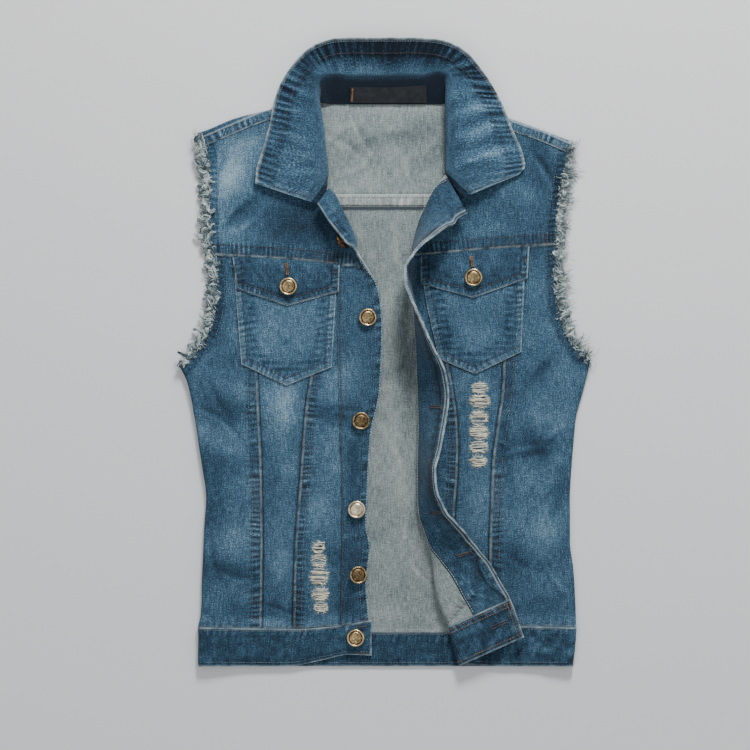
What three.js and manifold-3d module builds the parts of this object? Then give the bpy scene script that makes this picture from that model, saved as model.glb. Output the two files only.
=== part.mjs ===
// Sleeveless denim jacket with frayed armholes, unbuttoned and laid flat on its back.
// Millimetres. X runs across the garment, Y from hem to neck, Z up from the surface it lies on.
// "right" and "left" are the wearer's. The right front carries the buttons and lies at low X.
// Each cloth piece is a closed wall: a grid of points on the cloth's inner face, and the same
// points moved out along the normal by the cloth's thickness.

import * as THREE from 'three';
import { mergeVertices } from 'three/addons/utils/BufferGeometryUtils.js';
import Module from 'manifold-3d';

const wasm = await Module();
wasm.setup();

// Cloth thicknesses and the gaps between pieces
const DENIM = 1.2;
const DOUBLE = 2.4;
const BAND = 2.0;
const COLLAR_CLOTH = 2.6;
const LABEL_CLOTH = 1.0;
const SEAM = 0.3;
const HALF_SEAM = SEAM / 2;
const BENT_SEAM = 0.6;
const STACK_GAP = 0.4;

// Widths of strips
const PLACKET = 46;
const BAND_TOP_BACK = 38;
const UNDERLAP = 6;
const UNDERLAP_LEAST = 2;
const UNDERLAP_RUN = 25;
const BACK_YOKE_SEAM = 519;
const NECK_HALF = 80.5;
const NECK_SEAM = 634.5;

// Heights near the seams, at which the lines that cross them are read
const NEAR_YOKE = 462;
const NEAR_BAND = 44.5;
const NEAR_SHOULDER = 632;
const BAND_MIDDLE = 40;

// Heights of the front cloth's inner face over the surface
const REST = 2.0;
const BAND_RAISE = 0.8;
const BAND_RAISE_FROM = 62;
const BAND_RAISE_TO = 38;
const ROLL_TOP = 6.4;
const SIDE_PUFF = 32;
const SHOULDER_PUFF = 22;
const ROLL_STEPS = 5;
const ARMHOLE_STEPS = 9;
const SIDE_STEPS = 11;

const BUTTON_RADIUS = 10;
const BUTTON_SIDES = 14;
const BUTTON_FOOT = 3.2;

const COLOURS = {
  denim: { color: 0x4a6f8f, roughness: 0.86, metalness: 0 },
  denimDark: { color: 0x3a5c7c, roughness: 0.86, metalness: 0 },
  label: { color: 0x16161a, roughness: 0.7, metalness: 0 },
  fray: { color: 0xa9b8b6, roughness: 0.9, metalness: 0 },
  brass: { color: 0xa98648, roughness: 0.35, metalness: 1 },
};

// The two sides of the garment. Each table's rows run down the garment or outwards along it.
// sideEdge, armhole and the seams give x at a height y; shoulder lines, yoke seam and waistband
// lines give y at an x. front gives the line where the front edge starts to turn over: its
// place, the angle that the turned strip swings down from level, the width of cloth turned, how
// far it is turned (180 lies flat on the front again), and where the placket's seam lies.
const SIDES = {
  right: {
    out: -1,
    bend: 4,
    armholeEnd: 340,
    frontTop: 454,
    frontBottom: 50,
    bandEnd: -16,
    sideEdge: [
      { y: 342, x: -234 }, { y: 320, x: -224 }, { y: 287, x: -217 }, { y: 255, x: -212 },
      { y: 223, x: -207 }, { y: 190, x: -203 }, { y: 157, x: -205 }, { y: 108, x: -207 },
      { y: 58, x: -209 }, { y: 44, x: -212 }, { y: 6, x: -212 }, { y: 0, x: -211 },
    ],
    armhole: [
      { y: 604, x: -211 }, { y: 584, x: -205 }, { y: 560, x: -201 }, { y: 536, x: -201 },
      { y: 484, x: -200 }, { y: 454, x: -194 }, { y: 419, x: -193 }, { y: 380, x: -201 },
      { y: 354, x: -217 }, { y: 340, x: -229.4 },
    ],
    shoulderFold: [
      { x: -216, y: 601 }, { x: -201, y: 606 }, { x: -172, y: 618 }, { x: -129, y: 629 },
      { x: -80, y: 643 },
    ],
    shoulderSeam: [
      { x: -216, y: 582 }, { x: -201, y: 589 }, { x: -132, y: 617 }, { x: -80, y: 632 },
    ],
    neckLine: [
      { y: 636, x: -81 }, { y: 618, x: -79 }, { y: 600, x: -77 }, { y: 575, x: -75 },
      { y: 548, x: -75 },
    ],
    yokeSeam: [
      { x: -206, y: 466 }, { x: -120, y: 461 }, { x: -84, y: 458 }, { x: -52, y: 454 },
    ],
    seamOuter: [
      { y: 465, x: -162 }, { y: 327, x: -146 }, { y: 287, x: -144 }, { y: 223, x: -141 },
      { y: 141, x: -140 }, { y: 41, x: -141 },
    ],
    seamInner: [
      { y: 456, x: -66 }, { y: 327, x: -84 }, { y: 287, x: -90 }, { y: 223, x: -95 },
      { y: 125, x: -102 }, { y: 42, x: -104 },
    ],
    bandTop: [
      { x: -214, y: 44 }, { x: -103, y: 42 }, { x: -60, y: 45 }, { x: -16, y: 52 },
    ],
    hem: [
      { x: -212, y: 0 }, { x: -110, y: 0 }, { x: -71, y: 7 }, { x: -42, y: 13 }, { x: -14, y: 12 },
    ],
    front: [
      { y: 537, x: -66, swing: 53, width: 32, lift: 160, seamX: -75, seamY: 548 },
      { y: 528, x: -58.5, swing: 47, width: 33, lift: 158, seamX: -70, seamY: 536 },
      { y: 513, x: -51.5, swing: 41, width: 31, lift: 152, seamX: -64, seamY: 518 },
      { y: 485, x: -38, swing: 44, width: 24, lift: 145, seamX: -58, seamY: 490 },
      { y: 475, x: -35.5, swing: 38, width: 18, lift: 116, seamX: -56, seamY: 478 },
      { y: 463, x: -36.5, swing: 28, width: 12, lift: 60, seamX: -55, seamY: 463 },
      { y: 454, x: -33, swing: 20, width: 11, lift: 36, seamX: -54, seamY: 454 },
      { y: 445, x: -28, swing: 13, width: 10, lift: 16, seamX: -54, seamY: 445 },
      { y: 432, x: -20, swing: 8, width: 10, lift: 0, seamX: -54, seamY: 432 },
      { y: 412, x: -15, swing: 3, width: 10, lift: 0, seamX: -54, seamY: 412 },
      { y: 381, x: -13, swing: 0, width: 10, lift: 0, seamX: -55, seamY: 381 },
      { y: 310, x: -16, swing: 0, width: 10, lift: 0, seamX: -53, seamY: 310 },
      { y: 261, x: -26, swing: 0, width: 10, lift: 0, seamX: -52, seamY: 261 },
      { y: 212, x: -29, swing: 0, width: 10, lift: 0, seamX: -50, seamY: 212 },
      { y: 158, x: -31, swing: 0, width: 10, lift: 0, seamX: -50, seamY: 158 },
      { y: 135, x: -27, swing: 0, width: 10, lift: 0, seamX: -50, seamY: 135 },
      { y: 93, x: -31, swing: 0, width: 10, lift: 0, seamX: -51, seamY: 93 },
      { y: 50, x: -28, swing: 0, width: 10, lift: 0, seamX: -51, seamY: 50 },
    ],
    pocket: {
      left: [{ y: 440, x: -171 }, { y: 341, x: -163 }],
      right: [{ y: 440, x: -55 }, { y: 338, x: -61 }],
      point: { x: -112, y: 317 },
    },
    flap: {
      left: [{ y: 461, x: -173 }, { y: 426, x: -168 }],
      right: [{ y: 455, x: -52 }, { y: 423, x: -53 }],
      point: { x: -111, y: 407 },
    },
  },
  left: {
    out: 1,
    bend: 5,
    armholeEnd: 346,
    frontTop: 464.5,
    frontBottom: 47,
    bandBottom: 2,
    sideEdge: [
      { y: 349, x: 232 }, { y: 327, x: 227 }, { y: 304, x: 221 }, { y: 281, x: 215 },
      { y: 238, x: 211 }, { y: 186, x: 208 }, { y: 141, x: 208 }, { y: 108, x: 212 },
      { y: 44, x: 215 }, { y: 0, x: 212 },
    ],
    armhole: [
      { y: 594, x: 211 }, { y: 575, x: 206 }, { y: 548, x: 201 }, { y: 503, x: 195 },
      { y: 470, x: 193 }, { y: 438, x: 193 }, { y: 412, x: 195 }, { y: 380, x: 203 },
      { y: 360, x: 215 }, { y: 346, x: 227.5 },
    ],
    shoulderFold: [
      { x: 80, y: 643 }, { x: 105, y: 631 }, { x: 136, y: 620 }, { x: 175, y: 606 },
      { x: 214, y: 591 },
    ],
    shoulderSeam: [
      { x: 80, y: 632 }, { x: 105, y: 619 }, { x: 144, y: 604 }, { x: 175, y: 593 },
      { x: 214, y: 576 },
    ],
    neckLine: [
      { y: 636, x: 81 }, { y: 618, x: 79 }, { y: 600, x: 77.5 }, { y: 577, x: 77 },
      { y: 551.6, x: 72 },
    ],
    yokeSeam: [
      { x: 34, y: 464.5 }, { x: 117, y: 472 }, { x: 205, y: 478 },
    ],
    seamOuter: [
      { y: 474, x: 150 }, { y: 342, x: 134 }, { y: 319, x: 133 }, { y: 273, x: 127 },
      { y: 227, x: 121 }, { y: 167, x: 119 }, { y: 44, x: 116 },
    ],
    seamInner: [
      { y: 468, x: 52 }, { y: 340, x: 70 }, { y: 319, x: 74 }, { y: 285, x: 79 },
      { y: 250, x: 81 }, { y: 215, x: 80 }, { y: 168, x: 77 }, { y: 120, x: 78.5 },
      { y: 80, x: 82 }, { y: 45, x: 87 },
    ],
    bandTop: [{ x: 74.5, y: 47 }, { x: 215, y: 44 }],
    hem: [{ x: 86, y: 0 }, { x: 215, y: 0 }],
    front: [
      { y: 551.6, x: 69.5, swing: 61, width: 62, lift: 172 },
      { y: 532, x: 56, swing: 52, width: 54, lift: 170 },
      { y: 516.5, x: 48.7, swing: 42, width: 54, lift: 140 },
      { y: 499, x: 41, swing: 35, width: 54, lift: 122 },
      { y: 478, x: 35.5, swing: 25, width: 54, lift: 102 },
      { y: 464.5, x: 34, swing: 15, width: 54, lift: 91 },
      { y: 447, x: 34, swing: 5, width: 54, lift: 79 },
      { y: 431, x: 34, swing: 0, width: 54, lift: 80 },
      { y: 414, x: 35, swing: 0, width: 54, lift: 87 },
      { y: 390, x: 37, swing: 0, width: 54, lift: 98 },
      { y: 358, x: 39, swing: 0, width: 54, lift: 115 },
      { y: 331, x: 40, swing: 0, width: 54, lift: 134 },
      { y: 305, x: 41, swing: 0, width: 54, lift: 140 },
      { y: 280, x: 42, swing: 0, width: 54, lift: 132 },
      { y: 250, x: 41.5, swing: 0, width: 54, lift: 123 },
      { y: 220, x: 41, swing: 0, width: 54, lift: 114 },
      { y: 200, x: 41, swing: -2, width: 54, lift: 116 },
      { y: 180, x: 41.5, swing: -5, width: 54, lift: 127 },
      { y: 168.7, x: 43, swing: -8, width: 54, lift: 134 },
      { y: 155, x: 48, swing: -12, width: 54, lift: 146 },
      { y: 136.5, x: 53, swing: -14, width: 57, lift: 168 },
      { y: 119.5, x: 57, swing: -15, width: 65, lift: 176 },
      { y: 91, x: 59.5, swing: -20, width: 80, lift: 178 },
      { y: 72, x: 64, swing: -22, width: 85, lift: 178 },
      { y: 47, x: 74.5, swing: -24.4, width: 88, lift: 178 },
      { y: 2, x: 86.5, swing: -24.4, width: 92, lift: 178 },
    ],
    pocket: {
      left: [{ y: 440, x: 42 }, { y: 429, x: 43 }, { y: 347, x: 60 }],
      right: [{ y: 445, x: 157 }, { y: 355, x: 153 }],
      point: { x: 101, y: 330 },
    },
    flap: {
      left: [{ y: 464, x: 39.5 }, { y: 432, x: 39.5 }],
      right: [{ y: 471, x: 162 }, { y: 438, x: 160 }],
      point: { x: 99, y: 416 },
    },
  },
};

// Soft folds of the two fronts: centre, direction of the crease, half length, half width, and
// height over (or depth under) the cloth about it.
const FOLDS = [
  { x: -176, y: 278, angle: 150, length: 60, width: 20, height: -1.8 },
  { x: -160, y: 302, angle: 150, length: 55, width: 17, height: 3.4 },
  { x: -184, y: 165, angle: 10, length: 34, width: 24, height: 2.8 },
  { x: -168, y: 108, angle: 140, length: 46, width: 20, height: -1.4 },
  { x: -120, y: 190, angle: 84, length: 80, width: 15, height: 2.2 },
  { x: -172, y: 540, angle: 62, length: 44, width: 14, height: 3.2 },
  { x: -150, y: 516, angle: 50, length: 40, width: 13, height: -0.15 },
  { x: -105, y: 515, angle: 70, length: 26, width: 22, height: 1.0 },
  { x: 188, y: 160, angle: 25, length: 38, width: 24, height: 3.4 },
  { x: 168, y: 250, angle: 70, length: 48, width: 19, height: -1.6 },
  { x: 176, y: 292, angle: 40, length: 50, width: 18, height: 3.0 },
  { x: 160, y: 118, angle: 120, length: 48, width: 20, height: 2.6 },
  { x: 105, y: 215, angle: 95, length: 70, width: 15, height: 2.0 },
  { x: 140, y: 535, angle: 110, length: 46, width: 16, height: 3.0 },
  { x: 112, y: 130, angle: 100, length: 45, width: 15, height: -1.2 },
];

// Collar from its right point round the back of the neck to its left point: the neck seam, the
// line where it turns, and its outer edge.
const COLLAR = [
  { nx: -78, ny: 522, nz: 7.4, rx: -83, ry: 524, rz: 8.2, ex: -147, ey: 545, ez: 6 },
  { nx: -67.5, ny: 542, nz: 6, rx: -70, ry: 544, rz: 10.5, ex: -146, ey: 560, ez: 6 },
  { nx: -70, ny: 557, nz: 4.6, rx: -65, ry: 558, rz: 10.5, ex: -142, ey: 574, ez: 6 },
  { nx: -73.5, ny: 577, nz: 4.2, rx: -67, ry: 577, rz: 11.5, ex: -137, ey: 590, ez: 6 },
  { nx: -75.5, ny: 600, nz: 4.2, rx: -69, ry: 600, rz: 12.5, ex: -132, ey: 609, ez: 6 },
  { nx: -77.5, ny: 618, nz: 4.2, rx: -72, ry: 620, rz: 13, ex: -128, ey: 628, ez: 6.5 },
  { nx: -78.5, ny: 628, nz: 4, rx: -75, ry: 640, rz: 13, ex: -121, ey: 652, ez: 8 },
  { nx: -76, ny: 637, nz: 3.4, rx: -75, ry: 655, rz: 12.5, ex: -112, ey: 669, ez: 11 },
  { nx: -69, ny: 636, nz: 2, rx: -69, ry: 664, rz: 11, ex: -98, ey: 687, ez: 15 },
  { nx: -60, ny: 635.2, nz: 0.3, rx: -57, ry: 665, rz: 9.5, ex: -80, ey: 701, ez: 19 },
  { nx: -44, ny: 635.2, nz: 0.2, rx: -42, ry: 662, rz: 8.5, ex: -56, ey: 708, ez: 22 },
  { nx: -22, ny: 635.2, nz: 0.2, rx: -21, ry: 661, rz: 8, ex: -28, ey: 709, ez: 23.5 },
  { nx: 0, ny: 635.2, nz: 0.2, rx: 0, ry: 661, rz: 8, ex: 0, ey: 709, ez: 24 },
  { nx: 22, ny: 635.2, nz: 0.2, rx: 21, ry: 662, rz: 8, ex: 29, ey: 709, ez: 23.5 },
  { nx: 44, ny: 635.2, nz: 0.2, rx: 43, ry: 664, rz: 8.5, ex: 58, ey: 707, ez: 22 },
  { nx: 60, ny: 635.2, nz: 0.3, rx: 59, ry: 668, rz: 9.5, ex: 86, ey: 697, ez: 19 },
  { nx: 69, ny: 636, nz: 2, rx: 68, ry: 667, rz: 11, ex: 106, ey: 676, ez: 15 },
  { nx: 76, ny: 637, nz: 3.4, rx: 68, ry: 655, rz: 12.5, ex: 120, ey: 656, ez: 11 },
  { nx: 78.5, ny: 628, nz: 4, rx: 67.5, ry: 640, rz: 13, ex: 128, ey: 641, ez: 8 },
  { nx: 77.5, ny: 618, nz: 4.2, rx: 67.5, ry: 622, rz: 13, ex: 136, ey: 624, ez: 6.5 },
  { nx: 76, ny: 600, nz: 4.2, rx: 68, ry: 599, rz: 12.5, ex: 143, ey: 607, ez: 6 },
  { nx: 75.5, ny: 577, nz: 4.6, rx: 68, ry: 577, rz: 11.5, ex: 150, ey: 591, ez: 6 },
  { nx: 71.5, ny: 560, nz: 6, rx: 68, ry: 561, rz: 12.4, ex: 155, ey: 577, ez: 6 },
  { nx: 76, ny: 545, nz: 9.6, rx: 79, ry: 547, rz: 12.6, ex: 157, ey: 565, ez: 6 },
  { nx: 89, ny: 529.5, nz: 10, rx: 94, ry: 532, rz: 10.4, ex: 149, ey: 555, ez: 6 },
];
const COLLAR_STAND_STEPS = 2;
const COLLAR_FALL_STEPS = 6;

// Buttons on the right front: height up the front, distance in from its edge along the cloth,
// and how far they tip
const FRONT_BUTTONS = [
  { y: 488, inset: 4, tip: 0 },
  { y: 394, inset: 16, tip: 0.06 },
  { y: 277, inset: 16, tip: 0.05 },
  { y: 177, inset: 14, tip: 0 },
  { y: 103, inset: 12, tip: 0.22 },
];
const BAND_BUTTON = { x: -34, y: 32 };
const FLAP_BUTTONS = [
  { name: 'flap_button_right', side: 'right', x: -110, y: 429 },
  { name: 'flap_button_left', side: 'left', x: 99, y: 439 },
];

// Frayed armhole edges
const FRAY_STRIP = 3;
const FRAY_GAP = 0.5;
const FRAY_FLOOR = { front: 2.4, back: 0.3 };
const FRAY_ROOF = { front: 20, back: 1.9 };
const FRAY_THICK = 1.2;
const FRAY_LENGTH = 9;
const FRAYS = [
  { name: 'armhole_fray_right_front', side: 'right', layer: 'front', strands: 40, seed: 11 },
  { name: 'armhole_fray_left_front', side: 'left', layer: 'front', strands: 40, seed: 23 },
  { name: 'armhole_fray_right_back', side: 'right', layer: 'back', strands: 22, seed: 37 },
  { name: 'armhole_fray_left_back', side: 'left', layer: 'back', strands: 22, seed: 53 },
];

const radians = (degrees) => degrees * Math.PI / 180;
const mix = (a, b, t) => a + (b - a) * t;
const clamp = (value, low, high) => Math.min(high, Math.max(low, value));
const bell = (distance) => Math.exp(-distance * distance);

function smoothStep(from, to, value) {
  const t = clamp((value - from) / (to - from), 0, 1);
  return t * t * (3 - 2 * t);
}

// Smooth curve through a table: one column's value at a place in another column
function through(rows, from, to) {
  const points = rows.map((row) => [row[from], row[to]]).sort((a, b) => a[0] - b[0]);
  const last = points.length - 1;
  const chord = (i) => (points[i + 1][1] - points[i][1]) / (points[i + 1][0] - points[i][0]);
  const slopes = points.map((point, i) => {
    if (i === 0) return chord(0);
    if (i === last) return chord(last - 1);
    const before = chord(i - 1);
    const after = chord(i);
    return before * after <= 0 ? 0 : 2 * before * after / (before + after);
  });
  return (place) => {
    if (place <= points[0][0]) return points[0][1] + slopes[0] * (place - points[0][0]);
    if (place >= points[last][0]) return points[last][1] + slopes[last] * (place - points[last][0]);
    let i = 0;
    while (place > points[i + 1][0]) i += 1;
    const span = points[i + 1][0] - points[i][0];
    const t = (place - points[i][0]) / span;
    const t2 = t * t;
    const t3 = t2 * t;
    return (2 * t3 - 3 * t2 + 1) * points[i][1] + (t3 - 2 * t2 + t) * span * slopes[i]
      + (3 * t2 - 2 * t3) * points[i + 1][1] + (t3 - t2) * span * slopes[i + 1];
  };
}

// The same through rows in order, by row number, for curves that turn back on themselves
function throughRows(rows, column) {
  return through(rows.map((row, i) => ({ i, value: row[column] })), 'i', 'value');
}

for (const side of Object.values(SIDES)) {
  side.edgeX = through(side.sideEdge, 'y', 'x');
  side.armholeX = through(side.armhole, 'y', 'x');
  side.foldY = through(side.shoulderFold, 'x', 'y');
  side.shoulderY = through(side.shoulderSeam, 'x', 'y');
  side.neckX = through(side.neckLine, 'y', 'x');
  side.yokeY = through(side.yokeSeam, 'x', 'y');
  side.outerX = through(side.seamOuter, 'y', 'x');
  side.innerX = through(side.seamInner, 'y', 'x');
  side.bandY = through(side.bandTop, 'x', 'y');
  side.hemY = through(side.hem, 'x', 'y');
  side.turn = {};
  for (const column of ['x', 'swing', 'width', 'lift']) {
    side.turn[column] = through(side.front, 'y', column);
  }
  if (side.front[0].seamX !== undefined) {
    side.turn.seamX = through(side.front, 'y', 'seamX');
    side.turn.seamY = through(side.front, 'y', 'seamY');
  }
}

const bandRaise = (y) => BAND_RAISE * smoothStep(BAND_RAISE_FROM, BAND_RAISE_TO, y);
const rollTop = (y) => ROLL_TOP + bandRaise(y);
const rollRadius = (y, thickness) => (rollTop(y) - thickness) / 2;

// Where the roll round the side of the garment starts, for cloth of a given thickness
function sideRollX(side, y, thickness) {
  return side.edgeX(y) - side.out * (rollRadius(y, thickness) + thickness);
}

// Height of the front cloth's inner face over the surface
function frontHeight(x, y) {
  const side = x < 0 ? SIDES.right : SIDES.left;
  let height = REST + bandRaise(y);
  for (const fold of FOLDS) {
    const angle = radians(fold.angle);
    const alongFold = (x - fold.x) * Math.cos(angle) + (y - fold.y) * Math.sin(angle);
    const acrossFold = (y - fold.y) * Math.cos(angle) - (x - fold.x) * Math.sin(angle);
    height += fold.height * bell(alongFold / fold.length) * bell(acrossFold / fold.width);
  }
  height = Math.max(height, REST + bandRaise(y) - 0.2);
  const past = Math.max(0, y - side.armholeEnd);
  const fromSide = Math.hypot(x - sideRollX(side, Math.min(y, side.armholeEnd), DENIM), past);
  const fromShoulder = side.foldY(x) - ROLL_TOP / 2 - DENIM / 2 - y;
  const nearSide = bell(fromSide / SIDE_PUFF);
  const nearShoulder = bell(fromShoulder / SHOULDER_PUFF) * smoothStep(60, 95, Math.abs(x));
  return mix(height, rollTop(y), 1 - (1 - nearSide) * (1 - nearShoulder));
}

// A point of a front's inner face: s runs along the cloth from its front edge inwards
function frontStrip(side, y, s) {
  const turn = side.turn;
  const x = turn.x(y);
  const width = turn.width(y);
  const start = frontHeight(x, y);
  if (s >= width) {
    if (!turn.seamX) return new THREE.Vector3(x, y, start);
    const t = (s - width) / (PLACKET - width);
    const px = mix(x, turn.seamX(y), t);
    const py = mix(y, turn.seamY(y), t);
    return new THREE.Vector3(px, py, frontHeight(px, py));
  }
  const swing = radians(turn.swing(y));
  const lift = radians(Math.max(0, turn.lift(y)));
  const turned = width - s;
  const angle = Math.min(turned / side.bend, lift);
  const straight = turned - angle * side.bend;
  const over = side.bend * Math.sin(angle) + straight * Math.cos(angle);
  const up = side.bend * (1 - Math.cos(angle)) + straight * Math.sin(angle);
  return new THREE.Vector3(
    x - side.out * Math.cos(swing) * over,
    y + Math.sin(swing) * over,
    start + up,
  );
}

// The rows of a front's table from one height down to another, as shares of that stretch.
// The pieces that meet along the front edge use the same rows, so that their edges match.
function sharedRows(side, column, from, to) {
  const between = side.front.map((row) => row[column]).filter((y) => y < from - 1 && y > to + 1);
  return [from, ...between, to].map((y) => (from - y) / (from - to));
}

// Patch between four curves in plan; top and bottom run with u, first and second with v
function coons(top, bottom, first, second) {
  const corners = [top(0), top(1), bottom(0), bottom(1)];
  return (u, v) => {
    const sides = [first(v), second(v)];
    const rows = [top(u), bottom(u)];
    const value = (k) => mix(rows[0][k], rows[1][k], v) + mix(sides[0][k], sides[1][k], u)
      - mix(mix(corners[0][k], corners[1][k], u), mix(corners[2][k], corners[3][k], u), v);
    return [value(0), value(1)];
  };
}

const steps = (from, to, count) => Array.from({ length: count + 1 }, (_, i) => mix(from, to, i / count));
const joined = (...lists) => lists.reduce((all, list) => all.concat(list.slice(all.length ? 1 : 0)));

// Outward normal of a surface, from points just beside
function normalAt(surface, u, v, facing) {
  const reach = 0.002;
  const du = surface(u + reach, v).sub(surface(u - reach, v));
  const dv = surface(u, v + reach).sub(surface(u, v - reach));
  return du.cross(dv).normalize().multiplyScalar(facing);
}

// Closed wall from a surface's points and its thickness. active leaves cells of the grid out.
function wall(surface, columns, rows, thickness, facing, active = () => true, lift = 0) {
  const across = columns.length;
  const down = rows.length;
  const positions = [];
  for (const layer of [0, 1]) {
    for (let j = 0; j < down; j += 1) {
      for (let i = 0; i < across; i += 1) {
        const u = columns[i];
        const v = rows[j];
        const reach = lift + (layer ? thickness : 0);
        const point = surface(u, v).addScaledVector(normalAt(surface, u, v, facing), reach);
        positions.push(point.x, point.y, point.z);
      }
    }
  }
  const at = (layer, i, j) => layer * across * down + j * across + i;
  const inside = (i, j) => i >= 0 && j >= 0 && i < across - 1 && j < down - 1
    && active(columns[i], rows[j], columns[i + 1], rows[j + 1]);
  const triangles = [];
  const quad = (a, b, c, d) => triangles.push(a, b, c, a, c, d);
  for (let j = 0; j < down - 1; j += 1) {
    for (let i = 0; i < across - 1; i += 1) {
      if (!inside(i, j)) continue;
      quad(at(1, i, j), at(1, i + 1, j), at(1, i + 1, j + 1), at(1, i, j + 1));
      quad(at(0, i, j), at(0, i, j + 1), at(0, i + 1, j + 1), at(0, i + 1, j));
      if (!inside(i, j - 1)) quad(at(0, i, j), at(0, i + 1, j), at(1, i + 1, j), at(1, i, j));
      if (!inside(i + 1, j)) {
        quad(at(0, i + 1, j), at(0, i + 1, j + 1), at(1, i + 1, j + 1), at(1, i + 1, j));
      }
      if (!inside(i, j + 1)) {
        quad(at(0, i + 1, j + 1), at(0, i, j + 1), at(1, i, j + 1), at(1, i + 1, j + 1));
      }
      if (!inside(i - 1, j)) quad(at(0, i, j + 1), at(0, i, j), at(1, i, j), at(1, i, j + 1));
    }
  }
  const geometry = new THREE.BufferGeometry();
  geometry.setAttribute('position', new THREE.Float32BufferAttribute(positions, 3));
  geometry.setIndex(facing > 0 ? triangles : triangles.reverse());
  geometry.computeVertexNormals();
  return tidy(geometry);
}

// Drops the points that no triangle uses
function tidy(geometry) {
  const soup = geometry.toNonIndexed();
  soup.deleteAttribute('normal');
  soup.deleteAttribute('uv');
  const clean = mergeVertices(soup, 1e-4);
  clean.computeVertexNormals();
  return clean;
}

const vest = new THREE.Group();
vest.name = 'vest';

function add(name, geometry, look) {
  const mesh = new THREE.Mesh(geometry, new THREE.MeshStandardMaterial(COLOURS[look]));
  mesh.name = name;
  vest.add(mesh);
  return mesh;
}

const flatPoint = (x, y) => new THREE.Vector3(x, y, frontHeight(x, y));

// The roll round a side edge and the lap under it, for u from 1 to 3
function sideRoll(side, y, u, thickness) {
  const radius = rollRadius(y, thickness);
  const x = sideRollX(side, y, thickness);
  if (u <= 2) {
    const angle = Math.PI * (u - 1);
    return new THREE.Vector3(
      x + side.out * radius * Math.sin(angle),
      y,
      thickness + radius * (1 + Math.cos(angle)),
    );
  }
  return new THREE.Vector3(x - side.out * underlap(side, y) * (u - 2), y, thickness);
}

function underlap(side, y) {
  return mix(UNDERLAP, UNDERLAP_LEAST, smoothStep(side.armholeEnd - UNDERLAP_RUN, side.armholeEnd, y));
}

function frontYoke(name, side) {
  const top = (u) => {
    const x = mix(side.armholeX(side.shoulderY(side.armhole[1].x)), side.neckX(NEAR_SHOULDER), u);
    return [x, side.shoulderY(x) - HALF_SEAM];
  };
  const seamEnd = (side.turn.seamX || side.turn.x)(side.frontTop);
  const bottom = (u) => {
    const x = mix(side.armholeX(side.yokeY(side.armhole[4].x)), seamEnd, u);
    return [x - (side.turn.seamX ? HALF_SEAM * u : 0), side.yokeY(x) + HALF_SEAM];
  };
  const armhole = (v) => {
    const y = mix(top(0)[1], bottom(0)[1], v);
    return [side.armholeX(y), y];
  };
  const neckEnd = side.neckLine[side.neckLine.length - 1];
  const neckShare = 0.46;
  const inner = (v) => {
    if (v < neckShare) {
      const y = mix(top(1)[1], neckEnd.y, v / neckShare);
      return [side.neckX(y), y];
    }
    const t = (v - neckShare) / (1 - neckShare);
    if (!side.turn.seamX) {
      const y = mix(side.front[0].y, bottom(1)[1], t);
      return [side.turn.x(y), y];
    }
    const y = mix(side.front[0].seamY, bottom(1)[1], t);
    const seam = through(side.front, 'seamY', 'seamX');
    return [seam(y) - HALF_SEAM, y];
  };
  const plan = coons(top, bottom, armhole, inner);
  const surface = (u, v) => {
    if (side.turn.seamX || u <= 1) return flatPoint(...plan(u, v));
    const y = inner(v)[1];
    const width = side.turn.width(y);
    return frontStrip(side, y, mix(width, PLACKET + HALF_SEAM, u - 1));
  };
  const column = side.turn.seamX ? 'seamY' : 'y';
  const below = sharedRows(side, column, side.front[0][column], bottom(1)[1]);
  const rows = joined(steps(0, neckShare, 5), below.map((t) => mix(neckShare, 1, t)));
  const columns = side.turn.seamX ? steps(0, 1, 8) : joined(steps(0, 1, 9), steps(1, 2, 4));
  const active = (u, v) => u < 0.999 || v > neckShare - 0.001;
  add(name, wall(surface, columns, rows, DENIM, side.out, active), 'denim');
}

function sidePanel(name, side) {
  const seamTop = side.yokeY(side.outerX(NEAR_YOKE)) - HALF_SEAM;
  const seamX = (y) => side.outerX(y) + side.out * HALF_SEAM;
  const armTop = side.yokeY(side.armhole[4].x) - HALF_SEAM;
  const outerEdge = (y) => (y > side.armholeEnd ? side.armholeX(y) : sideRollX(side, y, DENIM));
  const bandAt = (x) => side.bandY(x) + HALF_SEAM;
  const outer = (v) => {
    const y = v < 1
      ? mix(armTop, side.armholeEnd, v)
      : mix(side.armholeEnd, bandAt(outerEdge(NEAR_BAND)), v - 1);
    return [outerEdge(y), y];
  };
  const inner = (v) => {
    const y = mix(seamTop, bandAt(seamX(NEAR_BAND)), v / 2);
    return [seamX(y), y];
  };
  const top = (u) => {
    const x = mix(seamX(seamTop), outer(0)[0], u);
    return [x, side.yokeY(x) - HALF_SEAM];
  };
  const bottom = (u) => {
    const x = mix(seamX(NEAR_BAND), outer(2)[0], u);
    return [x, bandAt(x)];
  };
  const plan = coons(top, bottom, (t) => inner(2 * t), (t) => outer(2 * t));
  const surface = (u, v) => {
    if (u <= 1) return flatPoint(...plan(u, v / 2));
    return sideRoll(side, outer(v)[1], u, DENIM);
  };
  const rows = joined(steps(0, 1, ARMHOLE_STEPS), steps(1, 2, SIDE_STEPS));
  const columns = joined(steps(0, 1, 4), steps(1, 2, ROLL_STEPS), steps(2, 3, 1));
  const active = (u, v) => u < 0.999 || v > 0.999;
  add(name, wall(surface, columns, rows, DENIM, side.out * -1, active), 'denim');
}

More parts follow.
